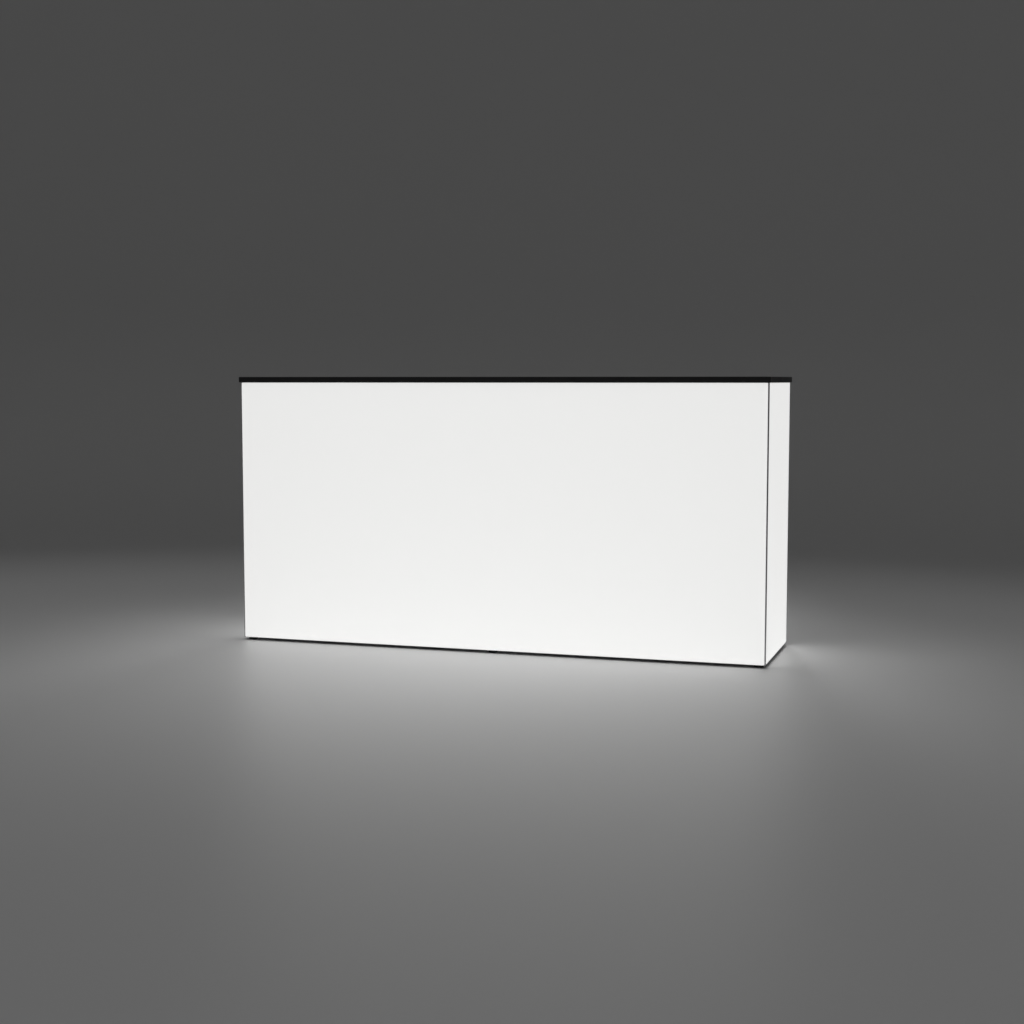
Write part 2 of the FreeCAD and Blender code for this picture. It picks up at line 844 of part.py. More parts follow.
def angle_bracket(at, across, face, up):
    """An angle of bracket size at a point: one leg against a face, one leg under or over a board.

    face is the direction the first leg looks in, across the direction along the bend, up the side of
    the second leg. The point is the middle of the bend.
    """
    low = [Size(0), Size(0), Size(0)]
    high = [Size(0), Size(0), Size(0)]
    along = "xyz".index(across)
    out = "xyz".index(face[-1])
    out_sign = -1 if face.startswith("-") else 1
    low[along] = at[along] - d.bracket_width / 2
    high[along] = at[along] + d.bracket_width / 2

    def leg(outward, upward):
        bottom = list(low)
        top = list(high)
        span(bottom, top, out, at[out], out_sign, outward)
        span(bottom, top, 2, at[2], up, upward)
        return slab(bottom, top)

    upright = leg(d.bracket_thickness, d.bracket_leg)
    flat = leg(d.bracket_leg, d.bracket_thickness)
    return fuse(upright, flat)


def span(low, high, axis, start, sign, length):
    """Fills in one axis of two corners, from a start, along a sign, over a length."""
    low[axis] = start if sign > 0 else start - length
    high[axis] = start + length if sign > 0 else start


def worktop_brackets():
    """Angles under the worktop, with holes for one screw in each leg."""
    brackets = []
    for face, direction in bracket_rows():
        for offset in bracket_offsets():
            point = (offset, face, z_high)
            angle = angle_bracket(point, "x", direction, -1)
            holes = [
                rod(at, OPPOSITE[outward], d.screw_radius + d.screw_gap, d.bracket_thickness)
                for at, outward in bracket_screw_places(point, direction)
            ]
            brackets.append(cut(angle, *holes))
    return brackets


def bracket_screw_places(point, direction):
    """Middle of each screw head of a worktop bracket, and the side that the head is on."""
    reach = d.bracket_leg * 0.6
    under = moved(moved(point, direction, reach), "-z", d.bracket_thickness)
    beside = moved(moved(point, direction, d.bracket_thickness), "-z", reach)
    return (under, "-z"), (beside, direction)


def shelf_brackets():
    """Four angles under each shelf: two on the divider, two on the end liner. Left half."""
    under = d.shelf_level - d.shelf_thickness
    divider_face = -d.mullion_offset - d.divider_thickness / 2
    liner_inside = x_left + d.light_depth + d.liner_thickness
    rows = (liner_back + d.shelf_bracket_inset, rear_inside - d.shelf_setback - d.shelf_bracket_inset)
    brackets = []
    for at_y in rows:
        brackets.append(angle_bracket((divider_face, at_y, under), "y", "-x", -1))
        brackets.append(angle_bracket((liner_inside, at_y, under), "y", "x", -1))
    return brackets


def board_screw(at, outward, length):
    shank = rod(at, OPPOSITE[outward], d.screw_radius, length)
    return fuse(rod(at, outward, d.screw_head_radius, d.screw_head_height), shank)


def board_screws():
    """Screws of the worktop brackets, of the rear panel and of the power supplies."""
    screws = []
    for face, direction in bracket_rows():
        for offset in bracket_offsets():
            for at, outward in bracket_screw_places((offset, face, z_high), direction):
                screws.append(board_screw(at, outward, d.screw_length))
    for at_x, at_z in panel_screw_places():
        screws.append(board_screw((at_x, door_back, at_z), "y", d.screw_length))
    for at_x, at_y in supply_screw_places():
        screws.append(board_screw((at_x, at_y, z_floor + d.supply_tab_thickness), "z", d.screw_length))
    return group(screws)


def floor_board():
    """Board inside the bottom rails, with pilot holes for the screws of the power supplies."""
    body = make_body("FloorBoard")
    inset = d.post_size + d.board_gap
    right = x_right - inset
    rear = y_rear - inset
    pad(body, draw(body, "XY_Plane", rectangle(-right, -rear, right, rear)), d.floor_thickness)
    depth = d.screw_length - d.supply_tab_thickness
    for at_x, at_y in supply_screw_places():
        at = (at_x, at_y, d.floor_thickness - depth)
        drill(body, at, "z", d.screw_radius + d.screw_gap, depth)
    return place(body, (0, 0, z_floor - d.floor_thickness))


def supply_screw_places():
    """Places of the screws through the tabs of both power supplies."""
    near = supply_front - d.supply_tab_length / 2
    far = supply_front + d.supply_length + d.supply_tab_length / 2
    for middle in (-d.supply_offset, d.supply_offset):
        for side in (-1, 1):
            yield middle + side * d.supply_width / 4, near
            yield middle + side * d.supply_width / 4, far


def angle_strip(along, at, length, first, second, turn=UPRIGHT):
    """An angle section along its own Z: legs from the corner along first * X and second * Y."""
    body = make_body("Strip")
    wall = d.strip_thickness
    outline = [
        (0, 0),
        (first * d.strip_leg, 0),
        (first * d.strip_leg, second * wall),
        (first * wall, second * wall),
        (first * wall, second * d.strip_leg),
        (0, second * d.strip_leg),
    ]
    pad(body, draw(body, along, outline), length)
    return place(body, at, turn)


def angle_strips():
    """Door stops and panel holders on the mullions, and the strips that carry the floor board."""
    height = z_head - z_floor
    door_stop = angle_strip("XY_Plane", (mullion_left_face, stop_face, z_floor), height, -1, -1)
    panel_at = (mullion_left_face + d.post_size, door_back - d.panel_thickness, z_floor)
    panel_holder = angle_strip("XY_Plane", panel_at, height, 1, -1)
    for level in panel_screw_levels():
        hole_at = (panel_screw_x() - panel_at[0], -d.strip_thickness, level - z_floor)
        drill(panel_holder, hole_at, "y", d.screw_radius + d.screw_gap, d.strip_thickness)
    start = post_inside + d.strip_clear
    length = -2 * start
    under = z_floor - d.floor_thickness
    front = angle_strip("YZ_Plane", (start, y_front + d.post_size, under), length, 1, -1)
    rear = angle_strip("YZ_Plane", (start, rear_inside, under), length, -1, -1)
    return group([both_sides([door_stop, panel_holder]), front, rear])


def front_liner():
    """White sheet behind the front light space, with openings for the low and the high LED feed."""
    body = make_body("FrontLiner")
    half = x_right - d.light_depth
    pad(body, draw(body, "XZ_Plane", rectangle(-half, 0, half, z_high - z_floor)), d.liner_thickness)
    radius = d.cable_radius + d.cable_hole_gap
    drill(body, (-d.supply_offset, -d.liner_thickness, d.cable_level), "y", radius, d.liner_thickness)
    slot_low = led_level(-1) - z_floor - d.cable_bend - radius
    slot_at = (d.supply_offset - radius, -d.liner_thickness, slot_low)
    cut_block(body, slot_at, (2 * radius, d.liner_thickness, d.cable_bend + 2 * radius))
    return place(body, (0, liner_back, z_floor))


def left_liner():
    """White sheet behind the end light space, folded outwards to the rear post."""
    body = make_body("LeftLiner")
    sheet_wall = d.liner_thickness
    length = rear_inside - liner_back
    reach = d.light_depth + sheet_wall - d.post_size
    outline = [
        (0, 0),
        (-sheet_wall, 0),
        (-sheet_wall, length - sheet_wall),
        (-reach, length - sheet_wall),
        (-reach, length),
        (0, length),
    ]
    height = z_high - z_floor
    pad(body, draw(body, "XY_Plane", outline), height)
    notch_at = (-reach, length - sheet_wall, height - d.rail_height)
    cut_block(body, notch_at, (reach - sheet_wall, sheet_wall, d.rail_height))
    return place(body, (x_left + d.light_depth + sheet_wall, liner_back, z_floor))


def divider():
    half = d.divider_thickness / 2
    low = (-d.mullion_offset - half, liner_back, z_floor)
    return slab(low, (-d.mullion_offset + half, rear_inside, z_high))


def shelf():
    low_x = x_left + d.light_depth + d.liner_thickness + d.board_gap
    high_x = -d.mullion_offset - d.divider_thickness / 2 - d.board_gap
    low = (low_x, liner_back + d.board_gap, d.shelf_level - d.shelf_thickness)
    return slab(low, (high_x, rear_inside - d.shelf_setback, d.shelf_level))


# Rear panel, doors and their fittings


def panel_screw_x():
    return mullion_left_face + d.post_size + d.strip_leg * 0.6


def panel_screw_levels():
    inset = d.hinge_end
    return door_low + inset, (door_low + door_high) / 2, door_high - inset


def panel_screw_places():
    for side in (1, -1):
        for level in panel_screw_levels():
            yield side * panel_screw_x(), level


def rear_panel():
    """Sheet between the mullions, with vent slots, screw holes and a cut-out for the mains inlet."""
    body = make_body("RearPanel")
    half = d.mullion_offset - d.post_size / 2 - d.door_free_gap
    pad(body, draw(body, "XZ_Plane", rectangle(-half, 0, half, door_high - door_low)), d.panel_thickness)
    for at_x, at_z in panel_screw_places():
        at = (at_x, -d.panel_thickness, at_z - door_low)
        drill(body, at, "y", d.screw_radius + d.screw_gap, d.panel_thickness)
    wide = d.inlet_width / 2 - d.inlet_rim + d.inlet_fit
    high = d.inlet_height / 2 - d.inlet_rim + d.inlet_fit
    at = (inlet_x - wide, -d.panel_thickness, d.inlet_level - door_low - high)
    cut_block(body, at, (2 * wide, d.panel_thickness, 2 * high))
    columns = int(value(d.vent_columns))
    for column in range(columns):
        slot = vent_slot(body, (column - (columns - 1) / 2) * d.vent_column_pitch)
        repeat_upwards(body, slot, d.vent_pitch, d.vent_rows)
    return place(body, (0, door_back, door_low))


def vent_slot(body, middle):
    """The lowest slot of a column, with round ends."""
    sketch = body.newObject("Sketcher::SketchObject", "Slot")
    sketch.AttachmentSupport = [(plane_of(body, "XZ_Plane"), "")]
    sketch.MapMode = "FlatFace"
    radius = d.vent_height / 2
    left = middle - d.vent_width / 2 + radius
    right = middle + d.vent_width / 2 - radius
    rise = (d.vent_rows - 1) * d.vent_pitch
    high = door_high - door_low - d.vent_top - rise
    low = high - d.vent_height
    corners = [flat_point(x, z) for x, z in ((left, low), (right, low), (right, high), (left, high))]
    right_end = flat_point(right + radius, low + radius)
    left_end = flat_point(left - radius, low + radius)
    sketch.addGeometry(Part.LineSegment(corners[0], corners[1]), False)
    sketch.addGeometry(Part.Arc(corners[1], right_end, corners[2]), False)
    sketch.addGeometry(Part.LineSegment(corners[2], corners[3]), False)
    sketch.addGeometry(Part.Arc(corners[3], left_end, corners[0]), False)
    for curve in range(4):
        sketch.addConstraint(Sketcher.Constraint("Tangent", curve, 2, (curve + 1) % 4, 1))
    fix_point(sketch, 0, "DistanceX", left)
    fix_point(sketch, 0, "DistanceY", low)
    fix_point(sketch, 2, "DistanceX", right)
    fix_point(sketch, 2, "DistanceY", high)
    return pocket(body, sketch, d.panel_thickness, reverse=True)


def flat_point(across, up):
    return FreeCAD.Vector(value(across), value(up), 0)


def repeat_upwards(body, feature, pitch, count):
    """Repeats a pocket along its sketch's vertical axis."""
    repeat = body.newObject("PartDesign::LinearPattern", "Rows")
    repeat.Originals = [feature]
    repeat.Direction = (feature.Profile[0], ["V_Axis"])
    bind(repeat, Length=pitch * (count - 1), Occurrences=count)
    body.Tip = repeat
    return repeat


def door():
    """Left rear door, drilled for its lock."""
    body = make_body("Door")
    width = door_free - door_edge
    height = door_high - door_low
    pad(body, draw(body, "XY_Plane", rectangle(0, 0, width, d.door_thickness)), height)
    round_edges(body, d.door_round)
    at = (handle_x - door_edge, 0, lock_level - door_low)
    drill(body, at, "y", d.barrel_radius + d.barrel_gap, d.door_thickness)
    return place(body, (door_edge, door_inside, door_low))


def hinge_levels():
    """Lower ends of the two hinges of a door."""
    return door_low + d.hinge_end - d.hinge_height / 2, door_high - d.hinge_end - d.hinge_height / 2


def knuckle_thirds(low):
    """Height ranges of the three knuckles of a hinge."""
    third = d.hinge_height / 3
    return [(low + step * third, third) for step in range(3)]


def hinge_leaf(low, plate_low, plate_high, own, other):
    """One leaf: a plate and a barrel round the pin, cleared where the other leaf's knuckles turn."""
    axis = (hinge_x, hinge_y)
    barrel = rod((*axis, low), "z", d.knuckle_radius, d.hinge_height)
    leaf = fuse(slab((*plate_low, low), (*plate_high, low + d.hinge_height)), barrel)
    clearances = []
    for start, length in other:
        at = (*axis, start - d.knuckle_gap / 2)
        clearances.append(rod(at, "z", d.knuckle_radius + d.knuckle_gap, length + d.knuckle_gap))
    bore = rod((*axis, low), "z", d.pin_radius + own, d.hinge_height)
    return cut(leaf, *clearances, bore)


def frame_leaf(low):
    """Leaf on the post: the two outer knuckles, tight on the pin."""
    thirds = knuckle_thirds(low)
    plate_low = (post_inside, hinge_y - d.frame_leaf_width)
    plate_high = (post_inside + d.leaf_thickness, hinge_y)
    return hinge_leaf(low, plate_low, plate_high, 0, thirds[1:2])


def door_leaf(low):
    """Leaf on the door: the middle knuckle, free on the pin."""
    thirds = knuckle_thirds(low)
    plate_low = (hinge_x, door_back)
    plate_high = (hinge_x + d.door_leaf_width, door_back + d.leaf_thickness)
    return hinge_leaf(low, plate_low, plate_high, d.pin_gap, [thirds[0], thirds[2]])


def hinge_pin(low):
    return rod((hinge_x, hinge_y, low), "z", d.pin_radius, d.hinge_height)


def knob():
    body = make_body("Knob")
    head = d.knob_height - d.knob_head_height
    outline = [
        (0, 0),
        (d.knob_neck_radius + d.knob_bevel, 0),
        (d.knob_neck_radius, d.knob_bevel),
        (d.knob_neck_radius, head),
        (d.knob_radius, head + d.knob_bevel),
        (d.knob_radius, d.knob_height - d.knob_bevel),
        (d.knob_radius - d.knob_bevel, d.knob_height),
        (0, d.knob_height),
    ]
    revolve(body, draw(body, "XZ_Plane", outline))
    return place(body, (handle_x, door_back, knob_level), TURNS["y"])


def lock_barrel():
    """Fixed housing of the cam lock, with its nut inside the door."""
    body = make_body("Barrel")
    tail = -d.door_thickness - d.barrel_tail
    bore = d.plug_radius + d.plug_gap
    outline = [
        (bore, tail),
        (d.barrel_radius, tail),
        (d.barrel_radius, 0),
        (d.barrel_flange_radius, 0),
        (d.barrel_flange_radius, d.barrel_flange_height / 2),
        (d.barrel_flange_radius - d.barrel_flange_height / 2, d.barrel_flange_height),
        (bore, d.barrel_flange_height),
    ]
    revolve(body, draw(body, "XZ_Plane", outline))
    place(body, (handle_x, door_back, lock_level), TURNS["y"])
    return group([body, lock_nut()])


def lock_nut():
    """Hexagon nut on the barrel, against the inside of the door."""
    blank = document.addObject("Part::Prism", "Nut")
    blank.Polygon = 6
    bind(blank, Circumradius=d.nut_across / Size("sqrt(3)"), Height=d.nut_height)
    at = (handle_x, door_inside - d.nut_height, lock_level)
    place(blank, at, TURNS["y"])
    return cut(blank, rod(at, "y", d.barrel_radius, d.nut_height))


def lock_core():
    """Plug with its key slot, and the cam that goes behind the stop strip. The cam hangs down."""
    body = make_body("LockCore")
    front = d.barrel_flange_height - d.plug_recess
    cam_face = stop_face - d.strip_thickness - d.cam_gap - door_back
    outline = [
        (0, cam_face - d.cam_thickness),
        (d.plug_radius, cam_face - d.cam_thickness),
        (d.plug_radius, front),
        (0, front),
    ]
    revolve(body, draw(body, "XZ_Plane", outline))
    half = d.cam_width / 2
    cam_at = (-half, -half, cam_face - d.cam_thickness)
    add_block(body, cam_at, (d.cam_width, d.cam_length + half, d.cam_thickness))
    slot_at = (-d.key_slot_width / 2, -d.key_slot_length / 2, front - d.key_slot_depth)
    cut_block(body, slot_at, (d.key_slot_width, d.key_slot_length, d.key_slot_depth))
    return place(body, (handle_x, door_back, lock_level), TURNS["y"])


# Lighting


def led_level(side):
    """Height of the middle of a carrier, at the bottom (1) or on top (-1)."""
    return z_floor + d.carrier_height / 2 if side > 0 else z_head - d.carrier_height / 2


def carrier(length, side, at, turn=UPRIGHT):
    """Aluminium channel that holds an LED board."""
    body = make_body("Carrier")
    wall = (d.carrier_width - d.led_board_width) / 2 - d.led_board_gap
    outline = [
        (0, 0),
        (d.carrier_width, 0),
        (d.carrier_width, d.carrier_height),
        (d.carrier_width - wall, d.carrier_height),
        (d.carrier_width - wall, d.carrier_floor),
        (wall, d.carrier_floor),
        (wall, d.carrier_height),
        (0, d.carrier_height),
    ]
    pad(body, draw(body, "YZ_Plane", [(across, side * up) for across, up in outline]), length)
    return place(body, at, turn)


def led_sets():
    """Carriers, boards and lenses of the front bars and of the left-hand bars."""
    near = chamber_middle - d.carrier_width / 2
    board_near = chamber_middle - d.led_board_width / 2
    front_start = post_inside + d.led_end_gap
    front_length = -2 * front_start
    side_start = y_front + d.post_size + d.led_end_gap
    side_length = d.frame_depth - 2 * d.post_size - 2 * d.led_end_gap
    front = {"carriers": [], "boards": [], "lenses": []}
    left = {"carriers": [], "boards": [], "lenses": []}
    for side, face in ((1, z_floor), (-1, z_head)):
        board_low = face + d.carrier_floor if side > 0 else face - d.carrier_floor - d.led_board_thickness
        lens_at = face + side * (d.carrier_floor + d.led_board_thickness)
        front["carriers"].append(carrier(front_length, side, (front_start, y_front + near, face)))
        turn = FreeCAD.Rotation(Z_AXIS, -90)
        left["carriers"].append(carrier(side_length, side, (x_left + near, -side_start, face), turn))
        corner = (front_start, y_front + board_near, board_low)
        front["boards"].append(block(corner, (front_length, d.led_board_width, d.led_board_thickness)))
        corner = (x_left + board_near, side_start, board_low)
        left["boards"].append(block(corner, (d.led_board_width, side_length, d.led_board_thickness)))
        for offset in lens_offsets(front_length):
            at = (front_start + offset, y_front + chamber_middle, lens_at)
            front["lenses"].append(lens(at, side))
        for offset in lens_offsets(side_length):
            left["lenses"].append(lens((x_left + chamber_middle, side_start + offset, lens_at), side))
    return front, left


def lens_offsets(length):
    """Places of the lenses along a bar, the same distance from both ends."""
    count = int(value(length) // value(d.lens_pitch))
    margin = (length - (count - 1) * d.lens_pitch) / 2
    return [margin + step * d.lens_pitch for step in range(count)]


def lens(at, side):
    thing = document.addObject("Part::Cone", "Lens")
    bind(thing, Radius1=d.lens_base_radius, Radius2=d.lens_top_radius, Height=d.lens_height)
    return place(thing, at, TURNS["z" if side > 0 else "-z"])


def power_supply(middle):
    """Finned aluminium case with a drilled tab at each end, lying along Y on the floor board."""
    body = make_body("Supply")
    half = d.supply_width / 2
    pitch = d.supply_width / (2 * d.supply_fins - 1)
    count = int(value(d.supply_fins))
    outline = [(-half, 0), (half, 0)]
    for fin in range(count):
        outer = half - 2 * fin * pitch
        inner = outer - pitch
        valley = d.supply_height - d.supply_fin_depth
        if fin > 0:
            outline.append((outer, valley))
        outline.append((outer, d.supply_height))
        outline.append((inner if fin < count - 1 else -half, d.supply_height))
        if fin < count - 1:
            outline.append((inner, valley))
    pad(body, draw(body, "YZ_Plane", outline), d.supply_length)
    tab = (d.supply_tab_length, d.supply_width, d.supply_tab_thickness)
    for tab_at in (-d.supply_tab_length, d.supply_length):
        add_block(body, (tab_at, -half, 0), tab)
        for hole_y in (-half / 2, half / 2):
            at = (tab_at + d.supply_tab_length / 2, hole_y, 0)
            drill(body, at, "z", d.screw_radius + d.screw_gap, d.supply_tab_thickness)
    at = (middle, supply_front, z_floor)
    return place(body, at, FreeCAD.Rotation(Z_AXIS, 90))


def cable(points):
    """A round cable through corner points, with a tangent arc at each corner, as its runs have room."""
    corners = [FreeCAD.Vector(*[value(size) for size in point]) for point in points]
    edges = []
    start = corners[0]
    for before, corner, after in zip(corners, corners[1:], corners[2:]):
        back = before - corner
        ahead = after - corner
        half_angle = back.getAngle(ahead) / 2
        back_share = END_RUN_SHARE if before is corners[0] else MIDDLE_RUN_SHARE
        ahead_share = END_RUN_SHARE if after is corners[-1] else MIDDLE_RUN_SHARE
        room = min(back_share * back.Length, ahead_share * ahead.Length)
        bend = min(value(d.cable_bend), room * math.tan(half_angle))
        reach = bend / math.tan(half_angle)
        back.normalize()
        ahead.normalize()
        apex = corner + (back + ahead).normalize() * (bend / math.sin(half_angle) - bend)
        entry = corner + back * reach
        leave = corner + ahead * reach
        edges.append(Part.LineSegment(start, entry).toShape())
        edges.append(Part.Arc(entry, apex, leave).toShape())
        start = leave
    edges.append(Part.LineSegment(start, corners[-1]).toShape())
    path = Part.Wire(edges)
    radius = value(d.cable_radius)
    section = Part.Wire(Part.Circle(corners[0], corners[1] - corners[0], radius).toShape())
    solid = path.makePipeShell([section], True, True)
    expected = math.pi * radius ** 2 * path.Length
    if abs(solid.Volume - expected) > 0.01 * expected:
        raise RuntimeError("a cable does not follow its route")
    thing = document.addObject("Part::Feature", "Cable")
    thing.Shape = solid
    return thing


def cables():
    """LED feeds, links round the front corners, the mains lead and the link between the supplies."""
    carrier_back = chamber_middle + d.carrier_width / 2
    supply_end = supply_front + d.supply_length
    low_bar = led_level(1)
    high_bar = led_level(-1)
    left = -d.supply_offset
    right = d.supply_offset
    liner_run = liner_back + d.cable_radius + d.cable_hole_gap
    step = (liner_face - y_front - carrier_back) / 4
    low_feed = [
        (left, supply_front, cable_z),
        (left, liner_face - step, cable_z),
        (left, liner_face - 2.6 * step, low_bar),
        (left, y_front + carrier_back, low_bar),
    ]
    high_feed = [
        (right, supply_front, cable_z),
        (right, liner_run, cable_z),
        (right, liner_run, high_bar),
        (right, y_front + carrier_back, high_bar),
    ]
    lead_run = inlet_back - supply_end
    mains_lead = [
        (left, inlet_back, d.inlet_level),
        (left, supply_end + 0.62 * lead_run, d.inlet_level),
        (left, supply_end + 0.42 * lead_run, cable_z),
        (left, supply_end, cable_z),
    ]
    link_x = d.supply_offset - d.supply_width / 4
    link_y = supply_end + 1.5 * d.cable_bend
    supply_link = [
        (-link_x, supply_end, cable_z),
        (-link_x, link_y, cable_z),
        (link_x, link_y, cable_z),
        (link_x, supply_end, cable_z),
    ]
    corner_links = []
    corner = carrier_back + 1.5 * d.cable_bend
    for level in (low_bar, high_bar):
        corner_links.append(cable([
            (x_left + corner, y_front + carrier_back, level),
            (x_left + corner, y_front + corner, level),
            (x_left + carrier_back, y_front + corner, level),
        ]))
    runs = [cable(points) for points in (low_feed, high_feed, mains_lead, supply_link)]
    return group([both_sides(corner_links), *runs])


# Mains inlet and switch


def mains_inlet():
    """Flanged inlet with a socket that has two cut corners, and a well for the switch."""
    body = make_body("Inlet")
    wide = d.inlet_width / 2
    high = d.inlet_height / 2
    pad(body, draw(body, "XZ_Plane", rectangle(-wide, -high, wide, high)), d.inlet_flange, reverse=True)
    rim = d.inlet_rim
    inner = rectangle(rim - wide, rim - high, wide - rim, high - rim)
    pad(body, draw(body, "XZ_Plane", inner), d.inlet_depth)
    left = -d.socket_offset - d.socket_width / 2
    right = left + d.socket_width
    top = d.socket_height / 2
    outline = [
        (left + d.socket_corner, -top),
        (right - d.socket_corner, -top),
        (right, d.socket_corner - top),
        (right, top),
        (left, top),
        (left, d.socket_corner - top),
    ]
    socket = draw(body, "XZ_Plane", outline)
    bind_offset(socket, -d.inlet_flange)
    pocket(body, socket, d.socket_depth, reverse=True)
    well_half = d.switch_half + 2 * d.switch_gap
    well_width = d.switch_width + 2 * d.switch_gap
    well_depth = d.switch_axis_depth + d.switch_half
    at = (d.switch_offset - well_width / 2, d.inlet_flange - well_depth, -well_half)
    cut_block(body, at, (well_width, well_depth, 2 * well_half))
    bearing = well_width + 2 * d.trunnion_reach + 2 * d.trunnion_gap
    at = (d.switch_offset - bearing / 2, d.inlet_flange - d.switch_axis_depth, 0)
    drill(body, at, "x", d.trunnion_radius + d.trunnion_gap, bearing)
    return place(body, (inlet_x, door_back, d.inlet_level))


def bind_offset(sketch, size):
    """Moves a sketch along its plane's normal."""
    sketch.setExpression("AttachmentOffset.Base.z", text_of(size))


def inlet_contacts():
    """Line, neutral and earth blades on the socket's floor."""
    middle = inlet_x - d.socket_offset
    floor = door_back + d.inlet_flange - d.socket_depth
    contacts = []
    for across, up in (
        (-d.contact_pitch, d.contact_offset),
        (Size(0), -d.contact_offset),
        (d.contact_pitch, d.contact_offset),
    ):
        low = (middle + across - d.contact_width / 2, floor, d.inlet_level + up - d.contact_height / 2)
        contacts.append(block(low, (d.contact_width, d.contact_length, d.contact_height)))
    return group(contacts)


def mains_switch():
    """Rocker on two trunnions, tilted to the pressed side."""
    body = make_body("Switch")
    half = d.switch_half
    outline = [
        (d.switch_rise, half),
        (d.switch_dip, 0),
        (d.switch_rise, -half),
        (-d.switch_rise, -half),
        (-d.switch_skirt, -half / 2),
        (-d.switch_skirt, half / 2),
        (-d.switch_rise, half),
    ]
    pad(body, draw(body, "YZ_Plane", outline), d.switch_width)
    feature = body.newObject("PartDesign::AdditiveCylinder", "Trunnions")
    length = d.switch_width + 2 * d.switch_gap + 2 * d.trunnion_reach
    bind(feature, Radius=d.trunnion_radius, Height=length)
    place(feature, ((d.switch_width - length) / 2, 0, 0), TURNS["x"])
    at_x = inlet_x + d.switch_offset - d.switch_width / 2
    at = (at_x, door_back + d.inlet_flange - d.switch_axis_depth, d.inlet_level)
    return place(body, at, FreeCAD.Rotation(X_AXIS, value(d.switch_tilt)))


# The whole counter


def keep_pair(thing, pattern):
    """Keeps a left-hand piece and its mirror image; pattern has a gap for the side."""
    keep(thing, pattern.format("left"))
    keep(mirrored(thing), pattern.format("right"))


def build_frame():
    keep_pair(front_post(), "corner_post_front_{}")
    keep_pair(rear_post(), "corner_post_rear_{}")
    half = d.frame_width / 2
    front_bottom = front_rail("FrontBottomRail", 1, z_low)
    open_for_foot(front_bottom, half - front_groove_end - d.notch_gap, chamber_middle)
    keep(front_bottom, "front_bottom_rail")
    front_top = front_rail("FrontTopRail", -1, z_high)
    run = half - front_groove_end - d.notch_gap
    open_for_screws(front_top, run, Size(0), d.post_size - d.tube_wall)
    keep(front_top, "front_top_rail")
    keep_pair(left_rail("SideBottomRail", 1, z_low), "{}_bottom_rail")
    keep_pair(left_rail("SideTopRail", -1, z_high), "{}_top_rail")
    rear_bottom = rear_rail("RearBottomRail", True)
    open_for_foot(rear_bottom, half - d.post_size, d.post_size / 2)
    keep(rear_bottom, "rear_bottom_rail")
    rear_top = rear_rail("RearTopRail", False)
    open_for_screws(rear_top, half - d.post_size, Size(0), Size(0))
    keep(rear_top, "rear_top_rail")
    keep_pair(mullion(), "mullion_{}")
    blocks, bolts = connector_set()
    keep(both_sides(blocks), "rail_connectors")
    keep(both_sides(bolts), "connector_bolts")


def build_feet():
    for name, at_x, at_y in foot_places():
        keep(foot(at_x, at_y), f"levelling_foot_{name}")
    keep(insert_set(), "foot_inserts")


def build_skins():
    keep(front_skin(), "front_fabric")
    keep_pair(left_skin(), "{}_fabric")
    keep(keders(), "keder_strips")


def build_boards():
    keep(worktop(), "worktop")
    keep(group([*worktop_brackets(), both_sides(shelf_brackets())]), "angle_brackets")
    keep(board_screws(), "board_screws")
    keep(floor_board(), "floor_board")
    keep(angle_strips(), "angle_strips")
    keep(front_liner(), "front_liner")
    keep_pair(left_liner(), "{}_liner")
    keep_pair(divider(), "divider_{}")
    keep_pair(shelf(), "shelf_{}")


def build_rear():
    keep(rear_panel(), "rear_panel")
    keep_pair(door(), "door_{}")
    levels = hinge_levels()
    keep(both_sides([frame_leaf(low) for low in levels]), "hinge_frame_leaves")
    keep(both_sides([hinge_pin(low) for low in levels]), "hinge_pins")
    keep_pair(group([door_leaf(low) for low in levels]), "door_{}_hinge_leaves")
    keep_pair(knob(), "door_{}_knob")
    keep_pair(lock_barrel(), "door_{}_lock_barrel")
    keep_pair(lock_core(), "door_{}_lock_core")
    keep(mains_inlet(), "mains_inlet")
    keep(inlet_contacts(), "inlet_contacts")
    keep(mains_switch(), "mains_switch")


def build_lighting():
    front, left = led_sets()
    for kind, label in (("carriers", "led_carriers"), ("boards", "led_boards"), ("lenses", "led_lenses")):
        keep(group([*front[kind], both_sides(left[kind])]), label)
    keep(group([power_supply(-d.supply_offset), power_supply(d.supply_offset)]), "power_supplies")
    keep(cables(), "internal_wiring")


def check():
    """Stops the build if an object failed or a piece has no valid solid."""
    for thing in document.Objects:
        if {"Invalid", "Error"} & set(thing.State):
            raise RuntimeError(f"{thing.Name} ({thing.Label}) failed: {thing.State}")
    for thing in pieces:
        if thing.Shape.isNull() or not thing.Shape.isValid() or not thing.Shape.Solids:
            raise RuntimeError(f"{thing.Label} has no valid solid")


def write():
    os.makedirs("parts", exist_ok=True)
    for thing in pieces:
        solids = thing.Shape.Solids
        shape = solids[0] if len(solids) == 1 else Part.makeCompound(solids)
        shape.exportStep(f"parts/{thing.Label}.step")


build_frame()
build_feet()
build_skins()
build_boards()
build_rear()
build_lighting()
document.recompute()
check()
write()
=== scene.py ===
import json
import math

